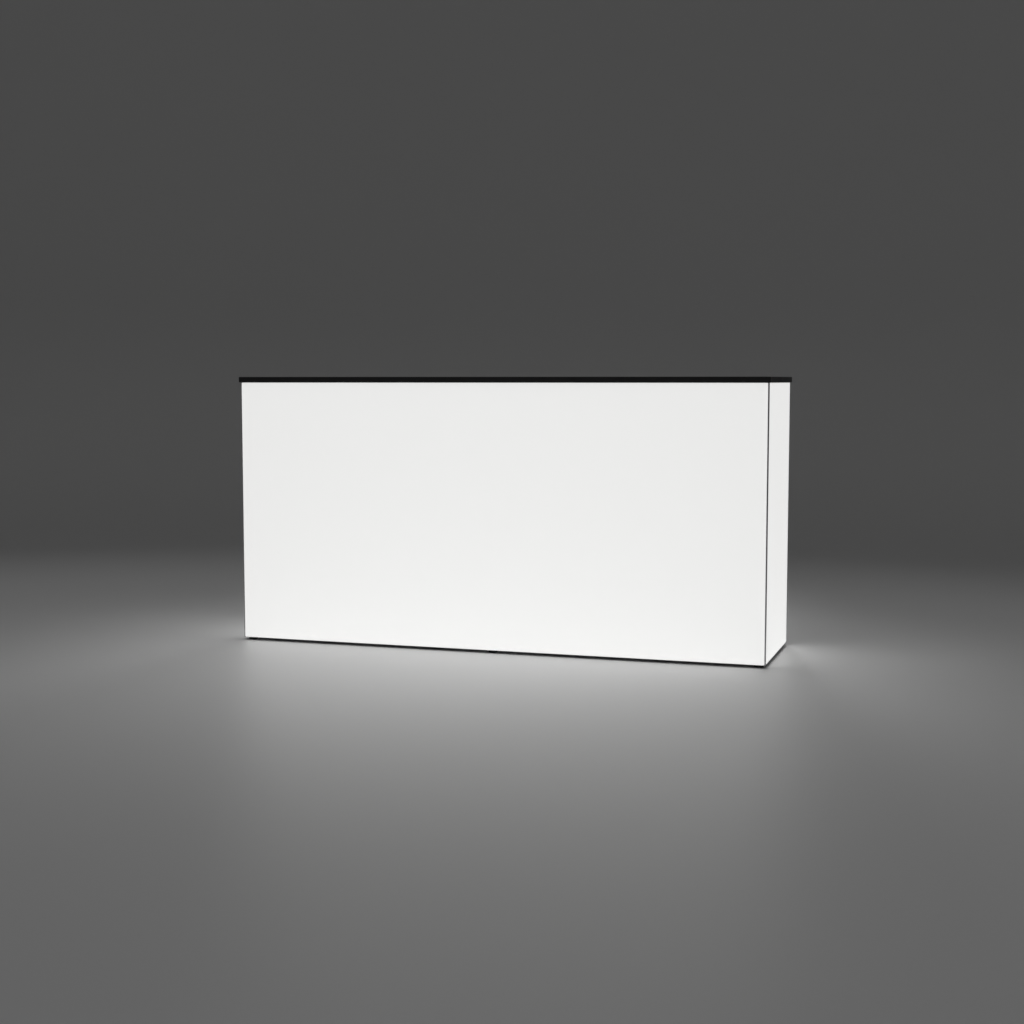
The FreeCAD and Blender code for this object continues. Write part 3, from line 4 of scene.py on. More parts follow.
import bmesh
import bpy
from mathutils import Euler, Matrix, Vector


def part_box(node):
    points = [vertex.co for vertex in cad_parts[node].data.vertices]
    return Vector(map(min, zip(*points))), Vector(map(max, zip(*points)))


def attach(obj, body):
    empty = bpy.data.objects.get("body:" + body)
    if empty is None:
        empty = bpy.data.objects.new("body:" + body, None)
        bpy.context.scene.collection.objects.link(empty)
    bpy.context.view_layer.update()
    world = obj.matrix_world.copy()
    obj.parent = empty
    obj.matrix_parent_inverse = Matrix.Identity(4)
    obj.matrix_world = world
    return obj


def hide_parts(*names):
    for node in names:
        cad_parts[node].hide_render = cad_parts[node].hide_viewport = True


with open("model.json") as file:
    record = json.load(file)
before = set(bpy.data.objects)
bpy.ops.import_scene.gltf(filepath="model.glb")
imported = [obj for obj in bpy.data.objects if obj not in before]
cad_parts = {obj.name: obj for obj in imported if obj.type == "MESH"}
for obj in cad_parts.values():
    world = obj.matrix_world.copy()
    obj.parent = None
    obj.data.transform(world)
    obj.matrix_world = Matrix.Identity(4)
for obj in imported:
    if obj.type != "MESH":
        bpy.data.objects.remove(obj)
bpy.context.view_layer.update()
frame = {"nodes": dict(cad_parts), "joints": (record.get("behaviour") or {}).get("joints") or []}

bl_info = {
    "name": "Illuminated Counter",
    "version": (1, 0, 0),
    "blender": (4, 5, 0),
    "location": "View3D > Sidebar > Counter",
    "description": "Textile skins, finishes, small hardware and studio stage of a backlit counter",
    "category": "Object",
}

NODES = frame["nodes"]
UP = Vector((0, 0, 1))

UPRIGHTS = (
    "corner_post_front_left", "corner_post_front_right", "corner_post_rear_left",
    "corner_post_rear_right", "mullion_left", "mullion_right",
)
LONG_RAILS = ("front_top_rail", "front_bottom_rail", "rear_top_rail", "rear_bottom_rail")
END_RAILS = ("left_top_rail", "left_bottom_rail", "right_top_rail", "right_bottom_rail")
FEET = ("front_left", "front_middle", "front_right", "rear_left", "rear_middle", "rear_right")
SIDES = ("left", "right")

# Hinges and screws, in metres; the places follow the hinge pieces of the frame
LEAF = 0.002  # thickness of a hinge leaf
HINGE_HALF = 0.032  # half the height of a hinge
DOOR_SCREW_REACH = 0.0165  # from the hinge axis to the screws in the door
FRAME_SCREW_REACH = 0.0135  # from the hinge axis to the screws in the post
PANEL_SCREW_TOP = 0.0009  # height of the tops on the rear panel's screws
RIM_BAND = 0.0001  # how near to the outermost face a rim's corners lie
SCREW_APART = 0.02  # corners nearer than this belong to one screw
FACING_BACK = (-math.pi / 2, 0.0, 0.0)

# A screw head, as shares of its radius or height
HEAD_TOP = 0.72
CROSS_LENGTH = 1.05
CROSS_WIDTH = 0.24
CROSS_DEPTH = 0.7
HEAD_CORNERS = 32

# Grip ribs of a foot, in metres; a rib is wider round the pad than it stands out
RIB_MIDDLE = 0.0032
RIB_HEIGHT = 0.0044
RIB_SHAPE = (1.0, 1.5, 1.0)
RIB_CORNERS = 12

# Mesh of a skin
SKIN_COLUMNS = 48
SKIN_ROWS = 32
BEND_ANGLES = (30, 60, 90)

# Stage, in metres; its round floor is wider towards the camera
COVE_MIDDLE = -3.0
COVE_FLAT = 6.3
COVE_CURVE = 1.5
COVE_TOP = 7.0
COVE_TURNS = 96
FLAT_STEPS = 6
CURVE_STEPS = 12
FLOOR_END = 4.6  # distance from the cove's middle at which the floor's colour begins to change
WALL_START = 6.9  # distance at which it has become the wall's
SENSOR = 36.0  # camera sensor in millimetres

# Metals
ZINC = (0.60, 0.62, 0.65)
SATIN_NICKEL = (0.60, 0.59, 0.57)
BRIGHT_NICKEL = (0.66, 0.65, 0.62)
SCREW_NICKEL = (0.42, 0.42, 0.41)
CAST_METAL = (0.52, 0.52, 0.52)
CASE_METAL = (0.42, 0.42, 0.43)
BRASS = (0.72, 0.66, 0.50)
# painted shade: near black for the inside of a lock's key slot
KEYWAY_SHADE = (0.015, 0.015, 0.015)

# Marks in the finishes, in metres; a pair says where a mark starts and where it ends
WORKTOP_BAND = 0.0012  # thickness of the worktop's edge band
DOOR_BAND = 0.0011  # thickness of a door's edge band
ARRIS_WEAR = (0.0004, 0.0022)
KEYWAY_TOP = (0.0004, 0.0010)
KEYWAY_END = (0.008, 0.010)
GRIP_HAZE = (0.01, 0.16)  # from a knob
EDGE_GLOW = (0.002, 0.02)  # from the edge of a skin
TRACK_PITCH = 0.045
TWIST_PITCH = 0.016
LINE_STRETCH = 0.004  # share by which the lines of drawn metal are drawn out


# Settings that a user would change


class SkinSettings(bpy.types.PropertyGroup):
    """Sizes and light of the textile skins."""

    cloth: bpy.props.FloatVectorProperty(
        name="Cloth", description="Colour of the unlit cloth", subtype="COLOR", size=3,
        min=0.0, max=1.0, default=(0.80, 0.80, 0.79))
    glow: bpy.props.FloatVectorProperty(
        name="Glow", description="Colour of the light that comes through the cloth",
        subtype="COLOR", size=3, min=0.0, max=1.0, default=(1.0, 1.0, 0.99))
    strength: bpy.props.FloatProperty(
        name="Strength", description="Brightness of the light through the cloth", min=0.0,
        default=0.722)
    end_share: bpy.props.FloatProperty(
        name="Share of the ends", description="Brightness of the ends against that of the front",
        min=0.0, default=1.12)
    flap: bpy.props.FloatProperty(
        name="Flap", description="Cloth turned back into the groove on each side",
        subtype="DISTANCE", unit="LENGTH", default=0.012)
    bend: bpy.props.FloatProperty(
        name="Bend", description="Radius where the cloth turns back", subtype="DISTANCE",
        unit="LENGTH", default=0.0008)
    thickness: bpy.props.FloatProperty(
        name="Thickness", description="Thickness of the cloth", subtype="DISTANCE", unit="LENGTH",
        default=0.00045)
    wale: bpy.props.FloatProperty(
        name="Wale", description="Distance between the knitted columns", subtype="DISTANCE",
        unit="LENGTH", default=0.0012)


class BodySettings(bpy.types.PropertyGroup):
    """Colours of the frame, the boards and the worktop."""

    aluminium: bpy.props.FloatVectorProperty(
        name="Aluminium", description="Colour of the anodised frame", subtype="COLOR", size=3,
        min=0.0, max=1.0, default=(0.66, 0.67, 0.68))
    laminate: bpy.props.FloatVectorProperty(
        name="Laminate", description="Colour of the worktop", subtype="COLOR", size=3,
        min=0.0, max=1.0, default=(0.011, 0.011, 0.0115))
    board: bpy.props.FloatVectorProperty(
        name="Board", description="Colour of doors, shelves and dividers", subtype="COLOR", size=3,
        min=0.0, max=1.0, default=(0.76, 0.76, 0.75))
    sheet: bpy.props.FloatVectorProperty(
        name="Sheet", description="Colour of liners and rear panel", subtype="COLOR", size=3,
        min=0.0, max=1.0, default=(0.78, 0.78, 0.77))
    moulding: bpy.props.FloatVectorProperty(
        name="Moulding", description="Colour of feet, knobs and mains inlet", subtype="COLOR",
        size=3, min=0.0, max=1.0, default=(0.024, 0.024, 0.025))


class HardwareSettings(bpy.types.PropertyGroup):
    """Sizes of the small hardware."""

    screw_radius: bpy.props.FloatProperty(
        name="Screw radius", description="Head radius of a hinge screw", subtype="DISTANCE",
        unit="LENGTH", default=0.0035)
    screw_height: bpy.props.FloatProperty(
        name="Screw height", description="How far a hinge screw stands proud", subtype="DISTANCE",
        unit="LENGTH", default=0.0013)
    screw_spread: bpy.props.FloatProperty(
        name="Screw spread", description="Distance between the screws of a hinge leaf",
        subtype="DISTANCE", unit="LENGTH", default=0.021)
    rib_count: bpy.props.IntProperty(
        name="Ribs", description="Grip ribs round a foot", min=8, default=28)
    rib_depth: bpy.props.FloatProperty(
        name="Rib depth", description="How far a grip rib stands out", subtype="DISTANCE",
        unit="LENGTH", default=0.0007)


class StageSettings(bpy.types.PropertyGroup):
    """Floor, wall, light and camera."""

    floor: bpy.props.FloatVectorProperty(
        name="Floor", description="Colour of the floor", subtype="COLOR", size=3, min=0.0, max=1.0,
        default=(0.90, 0.90, 0.90))
    wall: bpy.props.FloatVectorProperty(
        name="Wall", description="Colour of the wall", subtype="COLOR", size=3, min=0.0, max=1.0,
        default=(0.52, 0.52, 0.52))
    sky: bpy.props.FloatProperty(
        name="Surround light", description="Strength of the even light from all sides", min=0.0,
        default=0.17)
    front_lamp: bpy.props.FloatProperty(
        name="Front lamps", description="Power of each lamp on the public side", subtype="POWER",
        unit="POWER", min=0.0, default=3.0)
    top_lamp: bpy.props.FloatProperty(
        name="Top lamp", description="Power of the lamp above the counter", subtype="POWER",
        unit="POWER", min=0.0, default=1.9)
    back_lamp: bpy.props.FloatProperty(
        name="Back lamp", description="Power of the lamp on the door side", subtype="POWER",
        unit="POWER", min=0.0, default=6.3)
    lens: bpy.props.FloatProperty(
        name="Lens", description="Focal length of the camera in millimetres", min=1.0,
        default=54.81)
    camera_place: bpy.props.FloatVectorProperty(
        name="Camera", description="Place of the camera", subtype="TRANSLATION", unit="LENGTH",
        size=3, default=(1.7896, -5.5615, 0.9877))
    camera_turn: bpy.props.FloatVectorProperty(
        name="Camera turn", description="Turn of the camera", subtype="EULER", size=3,
        default=(math.radians(90 - 4.831), 0.0, math.radians(17.866)))


# Material values that are written as sums and products


class Amount:
    """A number or colour on its way through a material."""

    def __init__(self, finish, socket):
        self.finish = finish
        self.socket = socket

    def __add__(self, other):
        return self.finish.math("ADD", self, other)

    def __radd__(self, other):
        return self.finish.math("ADD", other, self)

    def __sub__(self, other):
        return self.finish.math("SUBTRACT", self, other)

    def __rsub__(self, other):
        return self.finish.math("SUBTRACT", other, self)

    def __mul__(self, other):
        return self.finish.math("MULTIPLY", self, other)

    def __rmul__(self, other):
        return self.finish.math("MULTIPLY", other, self)

    def __abs__(self):
        return self.finish.math("ABSOLUTE", self)


class Finish:
    """A material under construction, with the object's own coordinates at hand."""

    def __init__(self, name, roughness=0.5, metallic=0.0, **constants):
        self.material = bpy.data.materials.new(name)
        self.material.use_nodes = True
        self.tree = self.material.node_tree
        self.surface = self.tree.nodes["Principled BSDF"]
        self.place = self.node("ShaderNodeTexCoord", output="Object")
        self.x = self.node("ShaderNodeSeparateXYZ", {"Vector": self.place}, "X")
        self.y = self.node("ShaderNodeSeparateXYZ", {"Vector": self.place}, "Y")
        self.z = self.node("ShaderNodeSeparateXYZ", {"Vector": self.place}, "Z")
        self.surface.inputs["Roughness"].default_value = roughness
        self.surface.inputs["Metallic"].default_value = metallic
        for socket, constant in constants.items():
            self.surface.inputs[socket.replace("_", " ").title()].default_value = constant

    def node(self, kind, inputs=None, output=0, **settings):
        """Any node: its inputs by name, one of its outputs, and its own settings."""
        made = self.tree.nodes.new(kind)
        for setting, choice in settings.items():
            setattr(made, setting, choice)
        for name, given in (inputs or {}).items():
            socket = next(s for s in made.inputs if name in (s.identifier, s.name) and s.enabled)
            self.join(given, socket)
        if isinstance(output, str):
            return Amount(self, next(s for s in made.outputs if output in (s.identifier, s.name)))
        return Amount(self, made.outputs[output])

    def join(self, given, socket):
        """Links an amount to a socket, or sets the socket to a plain value."""
        if isinstance(given, Amount):
            self.tree.links.new(given.socket, socket)
        elif hasattr(given, "__len__") and len(socket.default_value) == 4 and len(given) == 3:
            socket.default_value = (*given, 1.0)
        else:
            socket.default_value = given

    def math(self, operation, first, second=0.0):
        """One Math node on values."""
        made = self.tree.nodes.new("ShaderNodeMath")
        made.operation = operation
        self.join(first, made.inputs[0])
        self.join(second, made.inputs[1])
        return Amount(self, made.outputs[0])

    def wave(self, along, pitch):
        """A sine from 0 to 1 along a coordinate."""
        return self.math("SINE", along * (2 * math.pi / pitch)) * 0.5 + 0.5

    def noise(self, grain, detail=2.0, stretch=(1.0, 1.0, 1.0)):
        """Cloudy noise from 0 to 1, with grains of about the given size in metres."""
        scaled = self.node("ShaderNodeMapping", {"Vector": self.place, "Scale": stretch}, "Vector")
        return self.node(
            "ShaderNodeTexNoise", {"Vector": scaled, "Scale": 1.0 / grain, "Detail": detail}, "Fac")

    def cells(self, grain):
        """Flat patches of about the given size, each with its own value."""
        spots = {"Vector": self.place, "Scale": 1.0 / grain}
        colour = self.node("ShaderNodeTexVoronoi", spots, "Color")
        return self.node("ShaderNodeSeparateColor", {"Color": colour}, "Red")

    def step(self, given, low, high):
        """0 below low and 1 above high, smooth between."""
        inputs = {"Value": given, "From Min": low, "From Max": high}
        return self.node("ShaderNodeMapRange", inputs, "Result", interpolation_type="SMOOTHSTEP")

    def blend(self, first, second, share):
        """The first colour at share 0, the second at share 1."""
        inputs = {"A_Color": first, "B_Color": second, "Factor_Float": share}
        return self.node("ShaderNodeMix", inputs, "Result_Color", data_type="RGBA")

    def nearest(self, *distances):
        """The least of several distances."""
        least = distances[0]
        for distance in distances[1:]:
            least = self.math("MINIMUM", least, distance)
        return least

    def feed(self, **values):
        """Joins varying values to the surface's sockets."""
        for socket, given in values.items():
            self.tree.links.new(given.socket, self.surface.inputs[socket.replace("_", " ").title()])

    def relief(self, height, depth, strength=0.5):
        """Small bumps of the given depth in metres."""
        inputs = {"Height": height, "Distance": depth, "Strength": strength}
        self.feed(normal=self.node("ShaderNodeBump", inputs, "Normal"))


def shade(colour, share):
    """A colour made darker or lighter by a share."""
    return tuple(min(1.0, part * share) for part in colour)


def anodised(name, colour, along):
    """Drawn and anodised aluminium with fine lines along the extrusion."""
    finish = Finish(name, metallic=1.0)
    stretch = tuple(LINE_STRETCH if axis == along else 1.0 for axis in "xyz")
    lines = finish.noise(grain=0.0010, detail=3.0, stretch=stretch)
    clouds = finish.noise(grain=0.22, detail=2.0)
    tint = lines * 0.7 + clouds * 0.3
    finish.feed(
        base_color=finish.blend(shade(colour, 0.92), shade(colour, 1.06), tint),
        roughness=lines * 0.10 + clouds * 0.05 + 0.38)
    finish.relief(lines, depth=0.00003)
    return finish.material


def plated(name, colour, rough, grain, wear=1.0):
    """Plated steel with faint patches and handling haze."""
    finish = Finish(name, metallic=1.0)
    patches = finish.cells(grain)
    haze = finish.noise(grain=0.03, detail=3.0)
    dull = shade(colour, 1 - 0.14 * wear)
    clean = shade(colour, 1 + 0.06 * wear)
    finish.feed(
        base_color=finish.blend(dull, clean, patches * 0.5 + haze * 0.5),
        roughness=haze * (0.18 * wear) + patches * (0.06 * wear) + rough)
    finish.relief(haze, depth=0.00004, strength=0.2 * wear)
    return finish.material


def lock_core(name, colour, node):
    """Bright plated lock core, with painted shade: near black down in the slot for the key."""
    finish = Finish(name, metallic=1.0)
    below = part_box(node)[1][1] - finish.y
    # painted shade: from 1 mm to 8 mm down into the key slot the core is painted near black
    keyway_shade = finish.step(below, *KEYWAY_TOP) * (1 - finish.step(below, *KEYWAY_END))
    haze = finish.noise(grain=0.004, detail=3.0)
    plate = finish.blend(shade(colour, 0.88), shade(colour, 1.05), haze)
    finish.feed(
        base_color=finish.blend(plate, KEYWAY_SHADE, keyway_shade),
        roughness=haze * 0.14 + keyway_shade * 0.4 + 0.14)
    return finish.material


def moulded(name, colour, rough, grain=0.0007):
    """Moulded plastic with a fine spark-eroded grain."""
    finish = Finish(name)
    pebbles = finish.noise(grain=grain, detail=3.0)
    smears = finish.noise(grain=0.05, detail=2.0)
    tint = pebbles * 0.6 + smears * 0.4
    finish.feed(
        base_color=finish.blend(shade(colour, 0.8), shade(colour, 1.25), tint),
        roughness=pebbles * 0.1 + smears * 0.12 + rough)
    finish.relief(pebbles, depth=0.00008)
    return finish.material


def laminate(name, colour):
    """Black laminate with a fine pebble grain, banded edges and slightly worn arrises."""
    finish = Finish(name)
    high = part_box("worktop")[1]
    pebbles = finish.noise(grain=0.0009, detail=3.0)
    smudges = finish.noise(grain=0.11, detail=4.0)
    side = finish.nearest(high[0] - abs(finish.x), high[1] - abs(finish.y))
    top = high[2] - finish.z
    arris = 1.0 - finish.step(side + top, *ARRIS_WEAR)
    chips = finish.step(finish.noise(grain=0.006, detail=4.0), 0.45, 0.72)
    seam = 1.0 - finish.step(abs(side - WORKTOP_BAND), 0.0001, 0.00035)
    worn = finish.blend(shade(colour, 0.85), shade(colour, 1.3), pebbles)
    worn = finish.blend(worn, shade(colour, 0.5), seam * 0.6)
    finish.feed(
        base_color=finish.blend(worn, shade(colour, 3.4), arris * chips * 0.6),
        roughness=pebbles * 0.1 + smudges * 0.16 + 0.40)
    finish.relief(pebbles, depth=0.00006)
    return finish.material


def melamine(name, colour, node=None):
    """White faced board; a door also shows its edge band's joint and faint haze round its knob."""
    finish = Finish(name)
    peel = finish.noise(grain=0.0022, detail=2.0)
    clouds = finish.noise(grain=0.25, detail=3.0)
    base = finish.blend(shade(colour, 0.975), shade(colour, 1.015), clouds)
    if node:
        low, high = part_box(node)
        edge = finish.nearest(
            finish.x - low[0], high[0] - finish.x, finish.z - low[2], high[2] - finish.z)
        seam = 1.0 - finish.step(abs(edge - DOOR_BAND), 0.0001, 0.0004)
        base = finish.blend(base, shade(colour, 0.6), seam * 0.55)
        hand = finish.node(
            "ShaderNodeVectorMath",
            {"Vector": finish.place, "Vector_001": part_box(node + "_knob")[0]}, "Value",
            operation="DISTANCE")
        grip = 1.0 - finish.step(hand, *GRIP_HAZE)
        base = finish.blend(base, shade(colour, 0.93), grip * clouds * 0.5)
    finish.feed(base_color=base, roughness=peel * 0.06 + clouds * 0.1 + 0.33)
    finish.relief(peel, depth=0.00005, strength=0.4)
    return finish.material


def coated_sheet(name, colour):
    """White coated sheet, smoother than the boards."""
    finish = Finish(name)
    rolled = finish.noise(grain=0.004, detail=2.0, stretch=(1.0, 1.0, 0.1))
    clouds = finish.noise(grain=0.3, detail=2.0)
    finish.feed(
        base_color=finish.blend(shade(colour, 0.98), shade(colour, 1.01), clouds),
        roughness=rolled * 0.08 + clouds * 0.06 + 0.28)
    finish.relief(rolled, depth=0.00003, strength=0.3)
    return finish.material


def backlit_cloth(name, settings, node, strength):
    """Knitted cloth that glows evenly, a touch more along its edges, next to the light bars."""
    finish = Finish(name, roughness=0.86, sheen_weight=0.15, emission_strength=strength)
    low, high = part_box(node)
    along = finish.x + finish.y
    start = low[0] + low[1]
    end = high[0] + high[1]
    columns = finish.wave(along, settings.wale)
    rows = finish.wave(finish.z, settings.wale * 0.8)
    knit = columns * 0.55 + rows * 0.45
    even = finish.noise(grain=0.7, detail=1.0)
    edge = finish.nearest(along - start, end - along, finish.z - low[2], high[2] - finish.z)
    # painted light: the glow is a touch brighter within 2 cm of each edge, next to the light bars,
    # which also lifts the shade under the worktop's overhang
    inside = finish.step(edge, *EDGE_GLOW)
    bright = finish.blend(settings.glow, shade(settings.glow, 0.97), inside)
    bright = finish.blend(shade(settings.glow, 0.90), bright, knit * 0.2 + even * 0.05 + 0.75)
    finish.feed(
        base_color=finish.blend(shade(settings.cloth, 0.95), settings.cloth, knit),
        emission_color=bright)
    finish.relief(knit, depth=0.00012, strength=0.35)
    return finish.material


def silicone(name):
    """Milky silicone with faint flow marks."""
    finish = Finish(name)
    flow = finish.noise(grain=0.01, detail=2.0)
    finish.feed(
        base_color=finish.blend((0.74, 0.74, 0.72), (0.80, 0.80, 0.78), flow),
        roughness=flow * 0.15 + 0.42)
    return finish.material


def circuit(name):
    """White solder mask over copper tracks, with a gap between the tracks every few centimetres."""
    finish = Finish(name)
    tracks = finish.step(finish.wave(finish.x + finish.y, TRACK_PITCH), 0.02, 0.06)
    mask = finish.noise(grain=0.002, detail=2.0)
    finish.feed(
        base_color=finish.blend((0.60, 0.62, 0.60), (0.80, 0.81, 0.80), tracks),
        roughness=mask * 0.2 + 0.3)
    return finish.material


def lens_plastic(name):
    """Clear lens, a little cloudy."""
    finish = Finish(name, transmission_weight=0.85)
    cloud = finish.noise(grain=0.003, detail=2.0)
    finish.feed(
        base_color=finish.blend((0.90, 0.92, 0.93), (0.97, 0.98, 0.98), cloud),
        roughness=cloud * 0.1 + 0.05)
    return finish.material


def sheath(name):
    """Black cable sheath with the faint twist of the cores below it."""
    finish = Finish(name)
    twist = finish.wave(finish.x + finish.y + finish.z, TWIST_PITCH)
    grain = finish.noise(grain=0.0015, detail=2.0)
    finish.feed(
        base_color=finish.blend((0.018, 0.018, 0.018), (0.034, 0.034, 0.034), grain),
        roughness=grain * 0.15 + twist * 0.05 + 0.38)
    finish.relief(twist, depth=0.0002, strength=0.3)
    return finish.material


def floor_and_wall(name, settings):
    """Pale floor that goes over into a darker wall."""
    finish = Finish(name)
    along = finish.y - COVE_MIDDLE
    away = finish.math("SQRT", finish.x * finish.x + along * along)
    rise = finish.step(away, FLOOR_END, WALL_START)
    grain = finish.noise(grain=0.02, detail=3.0)
    base = finish.blend(settings.floor, settings.wall, rise)
    finish.feed(
        base_color=finish.blend(base, shade(settings.floor, 0.98), grain * 0.03),
        roughness=grain * 0.1 + 0.42)
    return finish.material


# Helpers for pieces


def dress(material, *nodes):
    """Gives CAD nodes a finish."""
    for node in nodes:
        for slot in NODES[node].material_slots:
            slot.material = material


def add_piece(name, mesh, body, material=None):
    """A piece of the scene that moves with a body of the frame."""
    piece = bpy.data.objects.new(name, mesh)
    bpy.context.scene.collection.objects.link(piece)
    if material:
        mesh.materials.clear()
        mesh.materials.append(material)
    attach(piece, body)
    return piece


def evaluated_mesh(piece, name):
    """The mesh that a piece's modifiers make; the piece itself goes away."""
    graph = bpy.context.evaluated_depsgraph_get()
    mesh = bpy.data.meshes.new_from_object(piece.evaluated_get(graph))
    mesh.name = name
    source = piece.data
    piece.modifiers.clear()
    bpy.data.objects.remove(piece)
    bpy.data.meshes.remove(source)
    return mesh


class Rule:
    """A geometry tree with named inputs."""

    KINDS = {float: "NodeSocketFloat", int: "NodeSocketInt", tuple: "NodeSocketVector"}

    def __init__(self, name, **defaults):
        self.tree = bpy.data.node_groups.new(name, "GeometryNodeTree")
        for way in ("INPUT", "OUTPUT"):
            self.socket("Geometry", way, "NodeSocketGeometry")
        self.sockets = {}
        for label, default in defaults.items():
            title = label.replace("_", " ").capitalize()
            self.sockets[label] = self.socket(title, "INPUT", self.KINDS[type(default)])
        self.start = self.tree.nodes.new("NodeGroupInput")
        self.end = self.tree.nodes.new("NodeGroupOutput")
        self.defaults = defaults

    def socket(self, title, way, kind):
        """A new input or output of the tree."""
        return self.tree.interface.new_socket(title, in_out=way, socket_type=kind)

    def given(self, label):
        """The value of a named input."""
        return self.start.outputs[self.sockets[label].name]

    def node(self, kind, inputs=None, output=0, **settings):
        """Any node: its inputs by name, one of its outputs, and its own settings."""
        made = self.tree.nodes.new(kind)
        for setting, choice in settings.items():
            setattr(made, setting, choice)
        for name, value in (inputs or {}).items():
            socket = made.inputs[name]
            if isinstance(value, bpy.types.NodeSocket):
                self.tree.links.new(value, socket)
            else:
                socket.default_value = value
        return made.outputs[output]

    def math(self, operation, first, second=0.0):
        """One Math node on values."""
        return self.node("ShaderNodeMath", {0: first, 1: second}, operation=operation)

    def vector(self, x=0.0, y=0.0, z=0.0):
        """A vector from values."""
        return self.node("ShaderNodeCombineXYZ", {"X": x, "Y": y, "Z": z})

    def close(self, geometry, material):
        """Makes copies real, gives them a material and ends the tree."""
        real = self.node("GeometryNodeRealizeInstances", {"Geometry": geometry})
        dressed = self.node("GeometryNodeSetMaterial", {"Geometry": real, "Material": material})
        self.tree.links.new(dressed, self.end.inputs[0])

    def grow(self, name, points):
        """The mesh that the tree makes from points, as a plain mesh."""
        mesh = bpy.data.meshes.new(name + "_points")
        mesh.from_pydata([tuple(point) for point in points], [], [])
        carrier = bpy.data.objects.new(name + "_carrier", mesh)
        modifier = carrier.modifiers.new("Rule", "NODES")
        modifier.node_group = self.tree
        for label, value in self.defaults.items():
            modifier[self.sockets[label].identifier] = value
        bpy.context.scene.collection.objects.link(carrier)
        return evaluated_mesh(carrier, name)


def screw_rule(material, radius, height, facing):
    """Raised screw heads with a cross recess, on every point, facing one way."""
    rule = Rule("Screw heads", head_radius=radius, head_height=height, facing=tuple(facing))
    radius = rule.given("head_radius")
    height = rule.given("head_height")
    head = rule.node(
        "GeometryNodeMeshCone",
        {"Vertices": HEAD_CORNERS, "Radius Top": rule.math("MULTIPLY", radius, HEAD_TOP),
         "Radius Bottom": radius, "Depth": height}, "Mesh")
    arm = rule.math("MULTIPLY", radius, CROSS_LENGTH)
    blade = rule.math("MULTIPLY", radius, CROSS_WIDTH)
    deep = rule.math("MULTIPLY", height, CROSS_DEPTH)
    lift = rule.vector(z=height)
    for wide, tall in ((arm, blade), (blade, arm)):
        bar = rule.node("GeometryNodeMeshCube", {"Size": rule.vector(wide, tall, deep)}, "Mesh")
        lifted = rule.node("GeometryNodeTransform", {"Geometry": bar, "Translation": lift})
        head = rule.node("GeometryNodeMeshBoolean", {"Mesh 1": head, "Mesh 2": lifted}, "Mesh")
    placed = rule.node(
        "GeometryNodeInstanceOnPoints",
        {"Points": rule.start.outputs[0], "Instance": head, "Rotation": rule.given("facing")})
    rule.close(placed, material)
    return rule


def middles(points, reach):
    """The middle of each cluster of points that lie within reach of its first one."""
    clusters = []
    for point in points:
        home = next((cluster for cluster in clusters if (cluster[0] - point).length < reach), None)
        if home is None:
            clusters.append([point])
        else:
            home.append(point)
    found = []
    for cluster in clusters:
        low = Vector([min(point[axis] for point in cluster) for axis in range(3)])
        high = Vector([max(point[axis] for point in cluster) for axis in range(3)])
        found.append((low + high) / 2)
    return found


def rib_rule(material, settings, radius, height):
    """Upright grip ribs round a foot's pad, for every point at a pad's middle."""
    rule = Rule(
        "Grip ribs", ribs=settings.rib_count, rib_depth=settings.rib_depth, pad_radius=radius,
        rib_height=height)
    count = rule.given("ribs")
    ring = rule.node(
        "GeometryNodeMeshCircle", {"Vertices": count, "Radius": rule.given("pad_radius")})
    rib = rule.node(
        "GeometryNodeMeshCylinder",
        {"Vertices": RIB_CORNERS, "Radius": rule.given("rib_depth"),
         "Depth": rule.given("rib_height")}, "Mesh")
    turn = rule.math("DIVIDE", 2 * math.pi, count)
    index = rule.node("GeometryNodeInputIndex")
    angle = rule.vector(z=rule.math("MULTIPLY", index, turn))
    around = rule.node(
        "GeometryNodeInstanceOnPoints",
        {"Points": ring, "Instance": rib, "Rotation": angle, "Scale": RIB_SHAPE})
    whole = rule.node(
        "GeometryNodeInstanceOnPoints", {"Points": rule.start.outputs[0], "Instance": around})
    rule.close(whole, material)
    return rule


